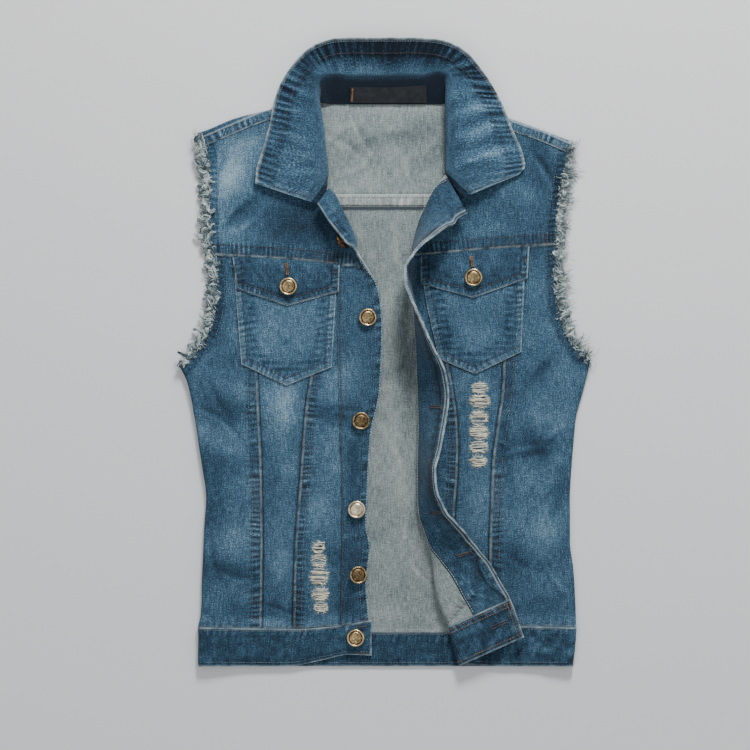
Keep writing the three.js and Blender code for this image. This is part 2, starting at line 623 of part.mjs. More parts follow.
function midPanel(name, side) {
  const firstX = (y) => side.innerX(y) + side.out * HALF_SEAM;
  const secondX = (y) => side.outerX(y) - side.out * HALF_SEAM;
  const edge = (xAt, yTop, yBottom) => (v) => {
    const y = mix(yTop, yBottom, v);
    return [xAt(y), y];
  };
  const line = (yAt, shift, xFrom, xTo) => (u) => {
    const x = mix(xFrom, xTo, u);
    return [x, yAt(x) + shift];
  };
  const top = line(side.yokeY, -HALF_SEAM, firstX(side.yokeY(side.innerX(NEAR_YOKE))), secondX(NEAR_YOKE));
  const bottom = line(side.bandY, HALF_SEAM, firstX(NEAR_BAND), secondX(NEAR_BAND));
  const first = edge(firstX, top(0)[1], bottom(0)[1]);
  const second = edge(secondX, top(1)[1], bottom(1)[1]);
  const plan = coons(top, bottom, first, second);
  const surface = (u, v) => flatPoint(...plan(u, v));
  const rows = joined(steps(0, 0.5, ARMHOLE_STEPS), steps(0.5, 1, SIDE_STEPS));
  add(name, wall(surface, steps(0, 1, 3), rows, DENIM, side.out * -1), 'denim');
}

function centrePanel(name, side) {
  const seamX = (y) => side.innerX(y) - side.out * HALF_SEAM;
  const flatSeam = side.turn.seamX;
  const edgeX = flatSeam || side.turn.x;
  const topX = edgeX(side.frontTop);
  const topY = side.yokeY(topX) - HALF_SEAM;
  const bottomY = (flatSeam ? side.bandY(edgeX(side.frontBottom)) : side.frontBottom) + HALF_SEAM;
  const first = (v) => {
    const y = mix(topY, bottomY, v);
    return [edgeX(y) - (flatSeam ? HALF_SEAM : 0), y];
  };
  const seamTop = side.yokeY(side.innerX(NEAR_YOKE)) - HALF_SEAM;
  const second = (v) => {
    const y = mix(seamTop, side.bandY(seamX(NEAR_BAND)) + HALF_SEAM, v);
    return [seamX(y), y];
  };
  const top = (u) => {
    const x = mix(first(0)[0], second(0)[0], u);
    return [x, side.yokeY(x) - HALF_SEAM];
  };
  const bottom = (u) => {
    const x = mix(first(1)[0], second(1)[0], u);
    return [x, mix(first(1)[1], second(1)[1], u)];
  };
  const plan = coons(top, bottom, first, second);
  const surface = (u, v) => {
    if (u >= 0) return flatPoint(...plan(u, v));
    const y = first(v)[1];
    return frontStrip(side, y, mix(side.turn.width(y), PLACKET + HALF_SEAM, -u));
  };
  const columns = flatSeam ? steps(0, 1, 3) : joined(steps(-1, 0, 6), steps(0, 1, 3));
  const rows = sharedRows(side, 'y', topY, bottomY);
  add(name, wall(surface, columns, rows, DENIM, side.out * -1), 'denim');
}

function placket(name, side) {
  const table = side.front;
  const bottomRow = side.turn.seamX ? table[table.length - 1] : table[table.length - 2];
  const bottomY = side.turn.seamX ? (x) => side.bandY(x) + HALF_SEAM : () => bottomRow.y + HALF_SEAM;
  const reach = PLACKET - (side.turn.seamX ? HALF_SEAM : BENT_SEAM);
  const surface = (u, v) => {
    const y = mix(table[0].y, bottomRow.y, v);
    const point = frontStrip(side, y, u * reach);
    if (side.turn.seamX) {
      const drop = bottomY(point.x) - bottomRow.y;
      point.y += drop * smoothStep(0.9, 1, v);
    } else {
      point.y += HALF_SEAM * v;
    }
    return point;
  };
  const columns = side.turn.seamX ? steps(0, 1, 6) : [0, 0.28, 0.56, 0.78, 0.9, 1];
  const rows = sharedRows(side, 'y', table[0].y, bottomRow.y);
  add(name, wall(surface, columns, rows, DOUBLE, side.out * -1), 'denim');
}

function frontBand(name, side) {
  const turned = !side.turn.seamX;
  const topAt = (x) => side.bandY(x) - HALF_SEAM;
  const sideTop = topAt(side.edgeX(BAND_MIDDLE));
  const outer = (v) => {
    const y = mix(sideTop, 0, v);
    return [sideRollX(side, y, BAND), y];
  };
  const first = (v) => {
    if (!turned) return [side.bandEnd, mix(topAt(side.bandEnd), side.hemY(side.bandEnd), v)];
    const y = mix(side.frontBottom - HALF_SEAM, side.bandBottom, v);
    return [side.turn.x(y), y];
  };
  const top = (u) => {
    const x = mix(first(0)[0], outer(0)[0], u);
    return [x, topAt(x)];
  };
  const bottom = (u) => {
    const x = mix(first(1)[0], outer(1)[0], u);
    return [x, turned ? mix(first(1)[1], 0, Math.min(1, u * 3)) : side.hemY(x)];
  };
  const plan = coons(top, bottom, first, outer);
  const surface = (u, v) => {
    if (u > 1) return sideRoll(side, outer(v)[1], u, BAND);
    if (u >= 0) return flatPoint(...plan(u, v));
    const y = first(v)[1];
    return frontStrip(side, y, side.turn.width(y) * (1 + u));
  };
  const flat = steps(0, 1, 12);
  const roll = joined(steps(1, 2, ROLL_STEPS), steps(2, 3, 1));
  const columns = turned ? joined(steps(-1, 0, 10), flat, roll) : joined(flat, roll);
  add(name, wall(surface, columns, steps(0, 1, 3), BAND, side.out * -1), 'denim');
}

// What is sewn on a front: its outline has two straight sides and a point at the bottom
function patch(name, side, shape, topAt, liftAt, rows) {
  const firstX = through(shape.left, 'y', 'x');
  const secondX = through(shape.right, 'y', 'x');
  const low = [shape.left[shape.left.length - 1], shape.right[shape.right.length - 1]];
  const high = [topAt(shape.left[0].x), topAt(shape.right[0].x)];
  const first = (v) => {
    const y = mix(high[0], low[0].y, v);
    return [firstX(y), y];
  };
  const second = (v) => {
    const y = mix(high[1], low[1].y, v);
    return [secondX(y), y];
  };
  const top = (u) => {
    const x = mix(shape.left[0].x, shape.right[0].x, u);
    return [mix(first(0)[0], second(0)[0], u), topAt(x)];
  };
  const bottom = (u) => (u < 0.5
    ? [mix(low[0].x, shape.point.x, u * 2), mix(low[0].y, shape.point.y, u * 2)]
    : [mix(shape.point.x, low[1].x, u * 2 - 1), mix(shape.point.y, low[1].y, u * 2 - 1)]);
  const plan = coons(top, bottom, first, second);
  const under = (u, v) => flatPoint(...plan(u, v));
  const surface = (u, v) => {
    const normal = normalAt(under, u, v, -1);
    const point = under(u, v);
    return point.addScaledVector(normal, liftAt(point.y));
  };
  add(name, wall(surface, steps(0, 1, 8), steps(0, 1, rows), DENIM, -1), 'denim');
}

function pocketAndFlap(name, side) {
  const onPanel = DENIM + STACK_GAP;
  const onPocket = onPanel + DENIM + STACK_GAP;
  const mouth = side.pocket.left[0].y;
  patch(`${name}_pocket`, side, side.pocket, (x) => mix(mouth, side.pocket.right[0].y,
    (x - side.pocket.left[0].x) / (side.pocket.right[0].x - side.pocket.left[0].x)), () => onPanel, 7);
  patch(`${name}_pocket_flap`, side, side.flap, (x) => side.yokeY(x) - 1.2,
    (y) => mix(onPanel, onPocket, smoothStep(mouth + 21, mouth + 9, y)), 6);
}

// Inner face of the back, which lies flat on the surface
const backPoint = (x, y, thickness) => new THREE.Vector3(x, y, thickness);

function backEdge(side, y) {
  const free = side.armholeX(y);
  if (y > side.armholeEnd) return free;
  return sideRollX(side, y, DENIM) - side.out * (underlap(side, y) + 1.8 * SEAM + bandRaise(y) * 1.3);
}

const BACK_SEAM = through([{ y: 38, x: 57 }, { y: 80, x: 58 }, { y: 519, x: 95 }], 'y', 'x');
const backTop = BACK_YOKE_SEAM - HALF_SEAM;
const backBottom = BAND_TOP_BACK + HALF_SEAM;

function backCentre() {
  const surface = (u, v) => {
    const y = mix(backTop, backBottom, v);
    return backPoint((BACK_SEAM(y) - HALF_SEAM) * (2 * u - 1), y, DENIM);
  };
  add('back_centre', wall(surface, steps(0, 1, 6), steps(0, 1, 12), DENIM, 1), 'denimDark');
}

function backSide(name, side) {
  const surface = (u, v) => {
    const y = v < 1 ? mix(backTop, side.armholeEnd + 1, v) : mix(side.armholeEnd, backBottom, v - 1);
    const seam = side.out * (BACK_SEAM(y) + HALF_SEAM);
    return backPoint(mix(seam, backEdge(side, y), u), y, DENIM);
  };
  const rows = joined(steps(0, 0.99, ARMHOLE_STEPS + 3), steps(0.99, 2, SIDE_STEPS));
  add(name, wall(surface, steps(0, 1, 2), rows, DENIM, side.out), 'denimDark');
}

function backBand() {
  const surface = (u, v) => {
    const y = mix(BAND_TOP_BACK - HALF_SEAM, 0, v);
    const edge = (side) => sideRollX(side, y, BAND) - side.out * (underlap(side, y) + SEAM);
    return backPoint(mix(edge(SIDES.right), edge(SIDES.left), u), y, BAND);
  };
  add('waistband_back', wall(surface, steps(0, 1, 10), steps(0, 1, 2), BAND, 1), 'denimDark');
}

// The back yoke runs up the back, rolls over each shoulder and ends at the shoulder seam
function backYoke() {
  const zones = [
    { side: SIDES.right, from: 'armhole' },
    { from: 'neck' },
    { side: SIDES.left, from: 'neck' },
  ];
  const radius = rollRadius(BACK_YOKE_SEAM, DENIM);
  const neckX = (t) => mix(-NECK_HALF, NECK_HALF, t);
  const shoulder = (side, x) => {
    const slope = (side.foldY(x + 1) - side.foldY(x - 1)) / 2;
    const length = Math.hypot(1, slope);
    const normal = [-slope / length, 1 / length];
    const reach = radius + DENIM;
    return { normal, centre: [x - normal[0] * reach, side.foldY(x) - normal[1] * reach] };
  };
  const tip = (side) => side.shoulderFold[side.out < 0 ? 0 : side.shoulderFold.length - 1].x;
  const along = (u) => {
    const zone = zones[clamp(Math.floor(u), 0, 2)];
    const t = u - zones.indexOf(zone);
    if (!zone.side) return { x: neckX(t), t };
    const outerX = tip(zone.side) - zone.side.out * 5;
    const share = zone.from === 'armhole' ? t : 1 - t;
    return { side: zone.side, x: mix(outerX, zone.side.out * NECK_HALF, share), share };
  };
  const flatTop = (u) => {
    const place = along(u);
    if (place.side) return shoulder(place.side, place.x).centre;
    const rise = smoothStep(70, NECK_HALF, Math.abs(place.x));
    const side = place.x < 0 ? SIDES.right : SIDES.left;
    const end = shoulder(side, side.out * NECK_HALF).centre;
    return [mix(place.x, end[0], rise), mix(NECK_SEAM, end[1], rise)];
  };
  const surface = (u, v) => {
    const place = along(u);
    const top = flatTop(u);
    if (v <= 1) {
      const y = mix(BACK_YOKE_SEAM + HALF_SEAM, top[1], v);
      if (!place.side) return backPoint(mix(place.x, top[0], v), y, DENIM);
      const edge = place.side.armholeX(y);
      const neck = place.side.out * NECK_HALF;
      const short = top[0] - mix(place.side.armholeX(top[1]), neck, place.share);
      return backPoint(mix(edge, neck, place.share) + short * v * v * v, y, DENIM);
    }
    const side = place.side || (place.x < 0 ? SIDES.right : SIDES.left);
    const { normal, centre } = shoulder(side, place.x);
    if (v <= 2) {
      const angle = Math.PI * (v - 1);
      const reach = radius * Math.sin(angle);
      const z = DENIM + radius * (1 - Math.cos(angle));
      return new THREE.Vector3(centre[0] + normal[0] * reach, centre[1] + normal[1] * reach, z);
    }
    const seamX = side.out * Math.min(Math.abs(place.x), Math.abs(side.armholeX(side.shoulderY(place.x))));
    const x = mix(centre[0], seamX, v - 2);
    const y = mix(centre[1], side.shoulderY(seamX) + HALF_SEAM, v - 2);
    return new THREE.Vector3(x, y, frontHeight(x, y));
  };
  const columns = joined(steps(0, 1, 6), steps(1, 2, 8), steps(2, 3, 6));
  const rows = joined(steps(0, 1, 6), steps(1, 2, ROLL_STEPS), steps(2, 3, 2));
  const active = (u, v) => v < 0.999 || u < 0.999 || u > 1.999;
  add('back_yoke', wall(surface, columns, rows, DENIM, -1, active), 'denimDark');
}

// The collar's lower face. u is the row number in its table; v runs from 0 at the neck seam
// through 1 at the turn to 2 at the outer edge.
const collarColumn = {};
for (const column of Object.keys(COLLAR[0])) collarColumn[column] = throughRows(COLLAR, column);

function collarPoint(u, v) {
  const neck = new THREE.Vector3(collarColumn.nx(u), collarColumn.ny(u), collarColumn.nz(u));
  const turn = new THREE.Vector3(collarColumn.rx(u), collarColumn.ry(u), collarColumn.rz(u));
  const edge = new THREE.Vector3(collarColumn.ex(u), collarColumn.ey(u), collarColumn.ez(u));
  const outward = edge.clone().sub(turn).setZ(0).normalize();
  turn.addScaledVector(outward, COLLAR_CLOTH * 0.8);
  const crown = turn.clone().lerp(edge, 0.12);
  crown.z = turn.z + Math.max(0, turn.z - edge.z) * 0.22;
  const curve = new THREE.CatmullRomCurve3([neck, turn, crown, edge], false, 'centripetal');
  const place = v <= 1 ? v / 3 : 1 / 3 + (v - 1) * 2 / 3;
  const point = curve.getPoint(clamp(place, 0, 1));
  if (v > 2) point.addScaledVector(curve.getTangent(1), v - 2);
  if (v < 0) point.addScaledVector(curve.getTangent(0), v);
  const onFront = Math.abs(point.x) > 84 && v > 1;
  if (onFront) {
    const least = frontHeight(point.x, point.y) + DENIM + STACK_GAP + 0.3;
    const over = smoothStep(84, 92, Math.abs(point.x));
    point.z = Math.max(point.z, mix(point.z, least, over));
  }
  return point;
}

function collar() {
  const columns = steps(0, COLLAR.length - 1, COLLAR.length - 1);
  const rows = joined(steps(0, 1, COLLAR_STAND_STEPS), [1, 1.25, 1.5], steps(1.5, 2, 4));
  add('collar', wall(collarPoint, columns, rows, COLLAR_CLOTH, 1), 'denim');
}

function neckLabel() {
  const first = 10.15;
  const last = 14.12;
  const surface = (u, v) => collarPoint(mix(first, last, u), mix(0.06, 0.62, v));
  const lift = COLLAR_CLOTH + STACK_GAP;
  add('neck_label', wall(surface, steps(0, 1, 8), steps(0, 1, 3), LABEL_CLOTH, 1, () => true, lift), 'label');
}

// Shank button: a foot, a neck and a cap with a raised rim round a shallow dome
function buttonGeometry() {
  const profile = [
    [0, 0], [BUTTON_FOOT, 0], [BUTTON_FOOT, 2.2], [BUTTON_RADIUS - 0.6, 2.4], [BUTTON_RADIUS, 3.4],
    [BUTTON_RADIUS - 1.4, 4.6], [BUTTON_RADIUS - 2.6, 3.9], [0, 4.6],
  ];
  const lathe = new THREE.LatheGeometry(profile.map(([r, z]) => new THREE.Vector2(r, z)), BUTTON_SIDES);
  lathe.rotateX(Math.PI / 2);
  return tidy(lathe);
}

// Sets a button on a surface's outer face
function addButton(name, surface, u, v, facing, thickness, tip) {
  const normal = normalAt(surface, u, v, facing);
  const mesh = add(name, buttonGeometry(), 'brass');
  mesh.quaternion.setFromUnitVectors(new THREE.Vector3(0, 0, 1), normal);
  mesh.rotateY(tip);
  const clearance = thickness + STACK_GAP + BUTTON_FOOT * Math.sin(tip);
  mesh.position.copy(surface(u, v).addScaledVector(normal, clearance));
}

function buttons() {
  const strip = (u, v) => frontStrip(SIDES.right, v, u);
  FRONT_BUTTONS.forEach((button, i) => {
    addButton(`front_button_${i + 1}`, strip, button.inset, button.y, -1, DOUBLE, button.tip);
  });
  const band = `front_button_${FRONT_BUTTONS.length + 1}`;
  addButton(band, flatPoint, BAND_BUTTON.x, BAND_BUTTON.y, 1, BAND, 0);
  const onFlap = 3 * DENIM + 2 * STACK_GAP;
  for (const button of FLAP_BUTTONS) {
    addButton(button.name, flatPoint, button.x, button.y, 1, onFlap, 0);
  }
}

// Small repeatable random numbers
function randomFrom(seed) {
  let state = seed;
  return () => {
    state = (state * 1664525 + 1013904223) % 4294967296;
    return state / 4294967296;
  };
}

function toManifold(geometry) {
  const bare = mergeVertices(geometry.index ? geometry.toNonIndexed() : geometry, 1e-4);
  return new wasm.Manifold(new wasm.Mesh({
    numProp: 3,
    vertProperties: new Float32Array(bare.attributes.position.array),
    triVerts: new Uint32Array(bare.index.array),
  }));
}

function fromManifold(solid) {
  const { vertProperties, triVerts } = solid.getMesh();
  const geometry = new THREE.BufferGeometry();
  geometry.setAttribute('position', new THREE.Float32BufferAttribute(vertProperties, 3));
  geometry.setIndex(Array.from(triVerts));
  geometry.computeVertexNormals();
  return geometry;
}

// One frayed thread bundle: a three-sided taper that bends as it leaves the cloth
function strand(root, direction, bendTo, length, width, layer) {
  const sides = 3;
  const rings = 3;
  const positions = [];
  const across = new THREE.Vector3(0, 0, 1).cross(direction).normalize();
  for (let k = 0; k < rings; k += 1) {
    const t = k / (rings - 1);
    const centre = root.clone().addScaledVector(direction, length * t)
      .addScaledVector(bendTo, length * 0.35 * t * t);
    centre.z = clamp(centre.z, FRAY_FLOOR[layer] + width, FRAY_ROOF[layer] - width);
    for (let n = 0; n < sides; n += 1) {
      const angle = n * 2 * Math.PI / sides + Math.PI / 2;
      const size = width * (1 - 0.6 * t);
      const point = centre.clone().addScaledVector(across, size * Math.cos(angle));
      point.z += size * Math.sin(angle);
      positions.push(point.x, point.y, point.z);
    }
  }
  const index = [0, 2, 1];
  for (let k = 0; k < rings - 1; k += 1) {
    for (let n = 0; n < sides; n += 1) {
      const a = k * sides + n;
      const b = k * sides + (n + 1) % sides;
      index.push(a, b, b + sides, a, b + sides, a + sides);
    }
  }
  const end = (rings - 1) * sides;
  index.push(end, end + 1, end + 2);
  const geometry = new THREE.BufferGeometry();
  geometry.setAttribute('position', new THREE.Float32BufferAttribute(positions, 3));
  geometry.setIndex(index);
  return geometry;
}

function fray({ name, side: sideName, layer, strands, seed }) {
  const side = SIDES[sideName];
  const random = randomFrom(seed);
  const front = layer === 'front';
  const yHigh = front ? side.shoulderY(side.armholeX(586)) - 2 : side.armhole[0].y - 14;
  const yLow = side.armholeEnd + (front ? 3 : 8);
  const height = (x, y) => (front ? frontHeight(x, y) : 0.4);
  const edge = (y) => {
    const slope = (side.armholeX(y + 1) - side.armholeX(y - 1)) / 2;
    const length = Math.hypot(1, slope);
    return { x: side.armholeX(y), outX: side.out / length, outY: -side.out * slope / length };
  };
  const stripPoint = (u, v) => {
    const y = mix(yHigh, yLow, v);
    const at = edge(y);
    const reach = FRAY_GAP + FRAY_STRIP * u;
    const x = at.x + at.outX * reach;
    return new THREE.Vector3(x, y + at.outY * reach, height(at.x, y));
  };
  const strip = wall(stripPoint, steps(0, 1, 1), steps(0, 1, 20), FRAY_THICK, side.out * -1);
  let solid = toManifold(strip);
  for (let k = 0; k < strands; k += 1) {
    const v = clamp((k + 0.5 + (random() - 0.5) * 0.8) / strands, 0.01, 0.99);
    const root = stripPoint(0.5, v);
    root.z += FRAY_THICK * 0.5;
    const at = edge(mix(yHigh, yLow, v));
    const spread = (random() - 0.5) * 1.5;
    const direction = new THREE.Vector3(
      at.outX - at.outY * spread,
      at.outY + at.outX * spread,
      (random() - 0.42) * (front ? 0.5 : 0.2),
    ).normalize();
    const bendTo = new THREE.Vector3(0, random() - 0.6, (random() - 0.5) * (front ? 1 : 0.4));
    const length = FRAY_LENGTH * (0.6 + 0.7 * random());
    const piece = strand(root, direction, bendTo, length, 0.45 + 0.2 * random(), layer);
    solid = solid.add(toManifold(piece));
  }
  add(name, fromManifold(solid), 'fray');
}

backYoke();
backCentre();
backBand();
for (const [name, side] of Object.entries(SIDES)) {
  backSide(`back_side_${name}`, side);
  frontYoke(`${name}_front_yoke`, side);
  sidePanel(`${name}_side_panel`, side);
  midPanel(`${name}_mid_panel`, side);
  centrePanel(`${name}_centre_panel`, side);
  placket(`${name}_placket`, side);
  frontBand(`${name}_waistband`, side);
  pocketAndFlap(name, side);
}
collar();
neckLabel();
buttons();
FRAYS.forEach(fray);

// The origin is under the middle of the garment's box
const box = new THREE.Box3().setFromObject(vest);
vest.position.set(-(box.min.x + box.max.x) / 2, -(box.min.y + box.max.y) / 2, -box.min.z);
vest.updateMatrixWorld(true);

export default vest;
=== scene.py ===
# Sleeveless denim jacket with frayed armholes, unbuttoned and laid flat: the looks, round the
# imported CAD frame. Shapes are worked out in millimetres in the garment's own frame, as the CAD
# is: X across from its middle line, Y up from the hem, Z up from the floor. "right" and "left"
# are the wearer's. Each cloth piece is a closed thin shell on its solid's form.

import math

import bpy
import numpy as np
from mathutils import Matrix, Vector


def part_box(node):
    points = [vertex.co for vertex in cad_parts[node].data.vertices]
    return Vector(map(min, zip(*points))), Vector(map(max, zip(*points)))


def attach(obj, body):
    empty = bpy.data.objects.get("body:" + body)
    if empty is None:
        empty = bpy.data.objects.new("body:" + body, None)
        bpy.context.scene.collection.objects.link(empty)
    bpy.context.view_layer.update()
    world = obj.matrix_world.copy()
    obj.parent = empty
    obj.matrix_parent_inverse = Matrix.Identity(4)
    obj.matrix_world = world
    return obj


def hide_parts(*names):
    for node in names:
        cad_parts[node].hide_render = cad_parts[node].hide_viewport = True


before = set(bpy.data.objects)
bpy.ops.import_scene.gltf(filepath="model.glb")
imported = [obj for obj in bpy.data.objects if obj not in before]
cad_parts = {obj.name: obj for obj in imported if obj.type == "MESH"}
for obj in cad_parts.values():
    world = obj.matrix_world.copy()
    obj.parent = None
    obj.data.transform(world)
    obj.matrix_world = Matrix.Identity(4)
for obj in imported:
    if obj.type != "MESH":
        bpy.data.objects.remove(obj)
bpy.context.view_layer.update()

MM = 0.001

# Cloth thicknesses, as in the CAD
DENIM = 1.2
DOUBLE = 2.4
BAND = 2.0
COLLAR_CLOTH = 2.6
LABEL_CLOTH = 1.0

# Gaps between pieces side by side, at a bend, and one on the other, and the top of a flap
SEAM = 0.3
HALF_SEAM = SEAM / 2
BENT_SEAM = 0.6
STACK_GAP = 0.4
ON_FLAP = 3 * DENIM + 2 * STACK_GAP

# The cut: the placket's width, the heights of the back's seams, and the neck
PLACKET = 46
BAND_TOP_BACK = 38
BACK_YOKE_SEAM = 519
NECK_HALF = 80.5
NECK_END = 632
NECK_SEAM = 634.5
TURNED_HEM = 2

# The fronts' lap under the back: its most, its least, and the run over which it narrows
UNDERLAP = 6
UNDERLAP_LEAST = 2
UNDERLAP_RUN = 25

# Height of the fronts' inner face, its rise over the band, and the puffed rolls at the edges
REST = 2.0
BAND_RAISE = 0.8
BAND_RAISE_FROM = 62
BAND_RAISE_TO = 38
ROLL_TOP = 6.4
SIDE_PUFF = 32
SHOULDER_PUFF = 22

# Radius of a button's shank where it stands on the cloth
BUTTON_FOOT = 3.2

# Heights at which the panels' seams are read near the yoke and near the band
NEAR_YOKE = 462
NEAR_BAND = 44.5

# How far a topstitched row lies from its seam or edge, and further than anything on the garment
ROW_INSET = 1.6
FAR = 1e3

# The garment's frame stands in the row's frame so that the centre back panel meets its solid
BACK_TOP = BACK_YOKE_SEAM - HALF_SEAM
low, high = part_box("back_centre")
SHIFT = np.array([(low.x + high.x) / 2 / MM, high.y / MM - BACK_TOP, 0])


def rows(names, *values):
    """A short table: a list of rows with named columns."""
    return [dict(zip(names.split(), row)) for row in values]


def mix(a, b, t):
    return a + (b - a) * t


def smooth(start, end, value):
    t = np.clip((value - start) / (end - start), 0, 1)
    return t * t * (3 - 2 * t)


def bell(distance):
    return np.exp(-np.square(distance))


def unit(vectors):
    return vectors / np.maximum(np.linalg.norm(vectors, axis=-1, keepdims=True), 1e-9)


def along_and_across(x, y, row):
    """How far places lie from a row's middle, along its direction and across it."""
    angle = math.radians(row["angle"])
    dx, dy = x - row["x"], y - row["y"]
    return (dx * math.cos(angle) + dy * math.sin(angle),
            dy * math.cos(angle) - dx * math.sin(angle))


def choose(test, first, second):
    """The place and the plan on one surface where a test holds, and on another elsewhere."""
    return tuple(np.where(test[..., None], a, b) for a, b in zip(first, second))


def normal_of(surface, u, v, facing):
    """A surface's outward unit normals, from the places a little to each side."""
    reach = 0.002
    du = surface(u + reach, v)[0] - surface(u - reach, v)[0]
    dv = surface(u, v + reach)[0] - surface(u, v - reach)[0]
    return unit(np.cross(du, dv)) * facing


def through(table, place, value):
    """Smooth curve through a table: one column's value at a place in another column."""
    points = sorted((row[place], row[value]) for row in table)
    x = np.array([p[0] for p in points], float)
    y = np.array([p[1] for p in points], float)
    chord = np.diff(y) / np.diff(x)
    slope = np.empty(len(x))
    slope[0], slope[-1] = chord[0], chord[-1]
    product = chord[:-1] * chord[1:]
    total = np.where(np.abs(chord[:-1] + chord[1:]) < 1e-12, 1, chord[:-1] + chord[1:])
    slope[1:-1] = np.where(product <= 0, 0, 2 * product / total)

    def curve(at):
        at = np.asarray(at, float)
        i = np.clip(np.searchsorted(x, at, side="left") - 1, 0, len(x) - 2)
        span = x[i + 1] - x[i]
        t = np.clip((at - x[i]) / span, 0, 1)
        t2, t3 = t * t, t * t * t
        inside = ((2 * t3 - 3 * t2 + 1) * y[i] + (t3 - 2 * t2 + t) * span * slope[i]
                  + (3 * t2 - 2 * t3) * y[i + 1] + (t3 - t2) * span * slope[i + 1])
        before = np.minimum(at - x[0], 0) * slope[0]
        after = np.maximum(at - x[-1], 0) * slope[-1]
        return inside + before + after

    return curve


class Side:
    """One side of the garment: its tables as curves."""

    def __init__(self, out, bend, armhole_end, yoke_end, band_end, side_edge, armhole, fold,
                 shoulder, neck, yoke, outer, inner, band, hem, front, pocket, flap):
        self.out, self.bend, self.armhole_end = out, bend, armhole_end
        self.yoke_end, self.band_end = yoke_end, band_end
        self.edge_x = through(side_edge, "y", "x")
        self.armhole, self.armhole_x = armhole, through(armhole, "y", "x")
        self.fold_y = through(fold, "x", "y")
        self.shoulder_tip = fold[0 if out < 0 else -1]
        self.shoulder_y = through(shoulder, "x", "y")
        self.neck, self.neck_x = neck, through(neck, "y", "x")
        self.yoke_y = through(yoke, "x", "y")
        self.outer_x = through(outer, "y", "x")
        self.inner_x = through(inner, "y", "x")
        self.band_y = through(band, "x", "y")
        self.hem_y = through(hem, "x", "y")
        self.front = front
        self.turn_x = through(front, "y", "x")
        self.swing = through(front, "y", "swing")
        self.width = through(front, "y", "width")
        self.lift = through(front, "y", "lift")
        self.flat = "seam_x" in front[0]
        if self.flat:
            self.seam_x = through(front, "y", "seam_x")
            self.seam_y = through(front, "y", "seam_y")
            self.seam_by_height = through(front, "seam_y", "seam_x")
        self.front_x = self.seam_x if self.flat else self.turn_x
        self.pocket, self.flap = pocket, flap


RIGHT = Side(
    out=-1, bend=4, armhole_end=340, yoke_end=454, band_end=50,
    side_edge=rows("y x", (342, -234), (320, -224), (287, -217), (255, -212), (223, -207),
                   (190, -203), (157, -205), (108, -207), (58, -209), (44, -212), (6, -212),
                   (0, -211)),
    armhole=rows("y x", (604, -211), (584, -205), (560, -201), (536, -201), (484, -200),
                 (454, -194), (419, -193), (380, -201), (354, -217), (340, -229.4)),
    fold=rows("x y", (-216, 601), (-201, 606), (-172, 618), (-129, 629), (-80, 643)),
    shoulder=rows("x y", (-216, 582), (-201, 589), (-132, 617), (-80, 632)),
    neck=rows("y x", (636, -81), (618, -79), (600, -77), (575, -75), (548, -75)),
    yoke=rows("x y", (-206, 466), (-120, 461), (-84, 458), (-52, 454)),
    outer=rows("y x", (465, -162), (327, -146), (287, -144), (223, -141), (141, -140),
               (41, -141)),
    inner=rows("y x", (456, -66), (327, -84), (287, -90), (223, -95), (125, -102), (42, -104)),
    band=rows("x y", (-214, 44), (-103, 42), (-60, 45), (-16, 52)),
    hem=rows("x y", (-212, 0), (-110, 0), (-71, 7), (-42, 13), (-14, 12)),
    front=rows("y x swing width lift seam_x seam_y",
               (537, -66, 53, 32, 160, -75, 548), (528, -58.5, 47, 33, 158, -70, 536),
               (513, -51.5, 41, 31, 152, -64, 518), (485, -38, 44, 24, 145, -58, 490),
               (475, -35.5, 38, 18, 116, -56, 478), (463, -36.5, 28, 12, 60, -55, 463),
               (454, -33, 20, 11, 36, -54, 454), (445, -28, 13, 10, 16, -54, 445),
               (432, -20, 8, 10, 0, -54, 432), (412, -15, 3, 10, 0, -54, 412),
               (381, -13, 0, 10, 0, -55, 381), (310, -16, 0, 10, 0, -53, 310),
               (261, -26, 0, 10, 0, -52, 261), (212, -29, 0, 10, 0, -50, 212),
               (158, -31, 0, 10, 0, -50, 158), (135, -27, 0, 10, 0, -50, 135),
               (93, -31, 0, 10, 0, -51, 93), (50, -28, 0, 10, 0, -51, 50)),
    pocket={"left": rows("y x", (440, -171), (341, -163)),
            "right": rows("y x", (440, -55), (338, -61)), "point": (-112, 317)},
    flap={"left": rows("y x", (461, -173), (426, -168)),
          "right": rows("y x", (455, -52), (423, -53)), "point": (-111, 407)},
)

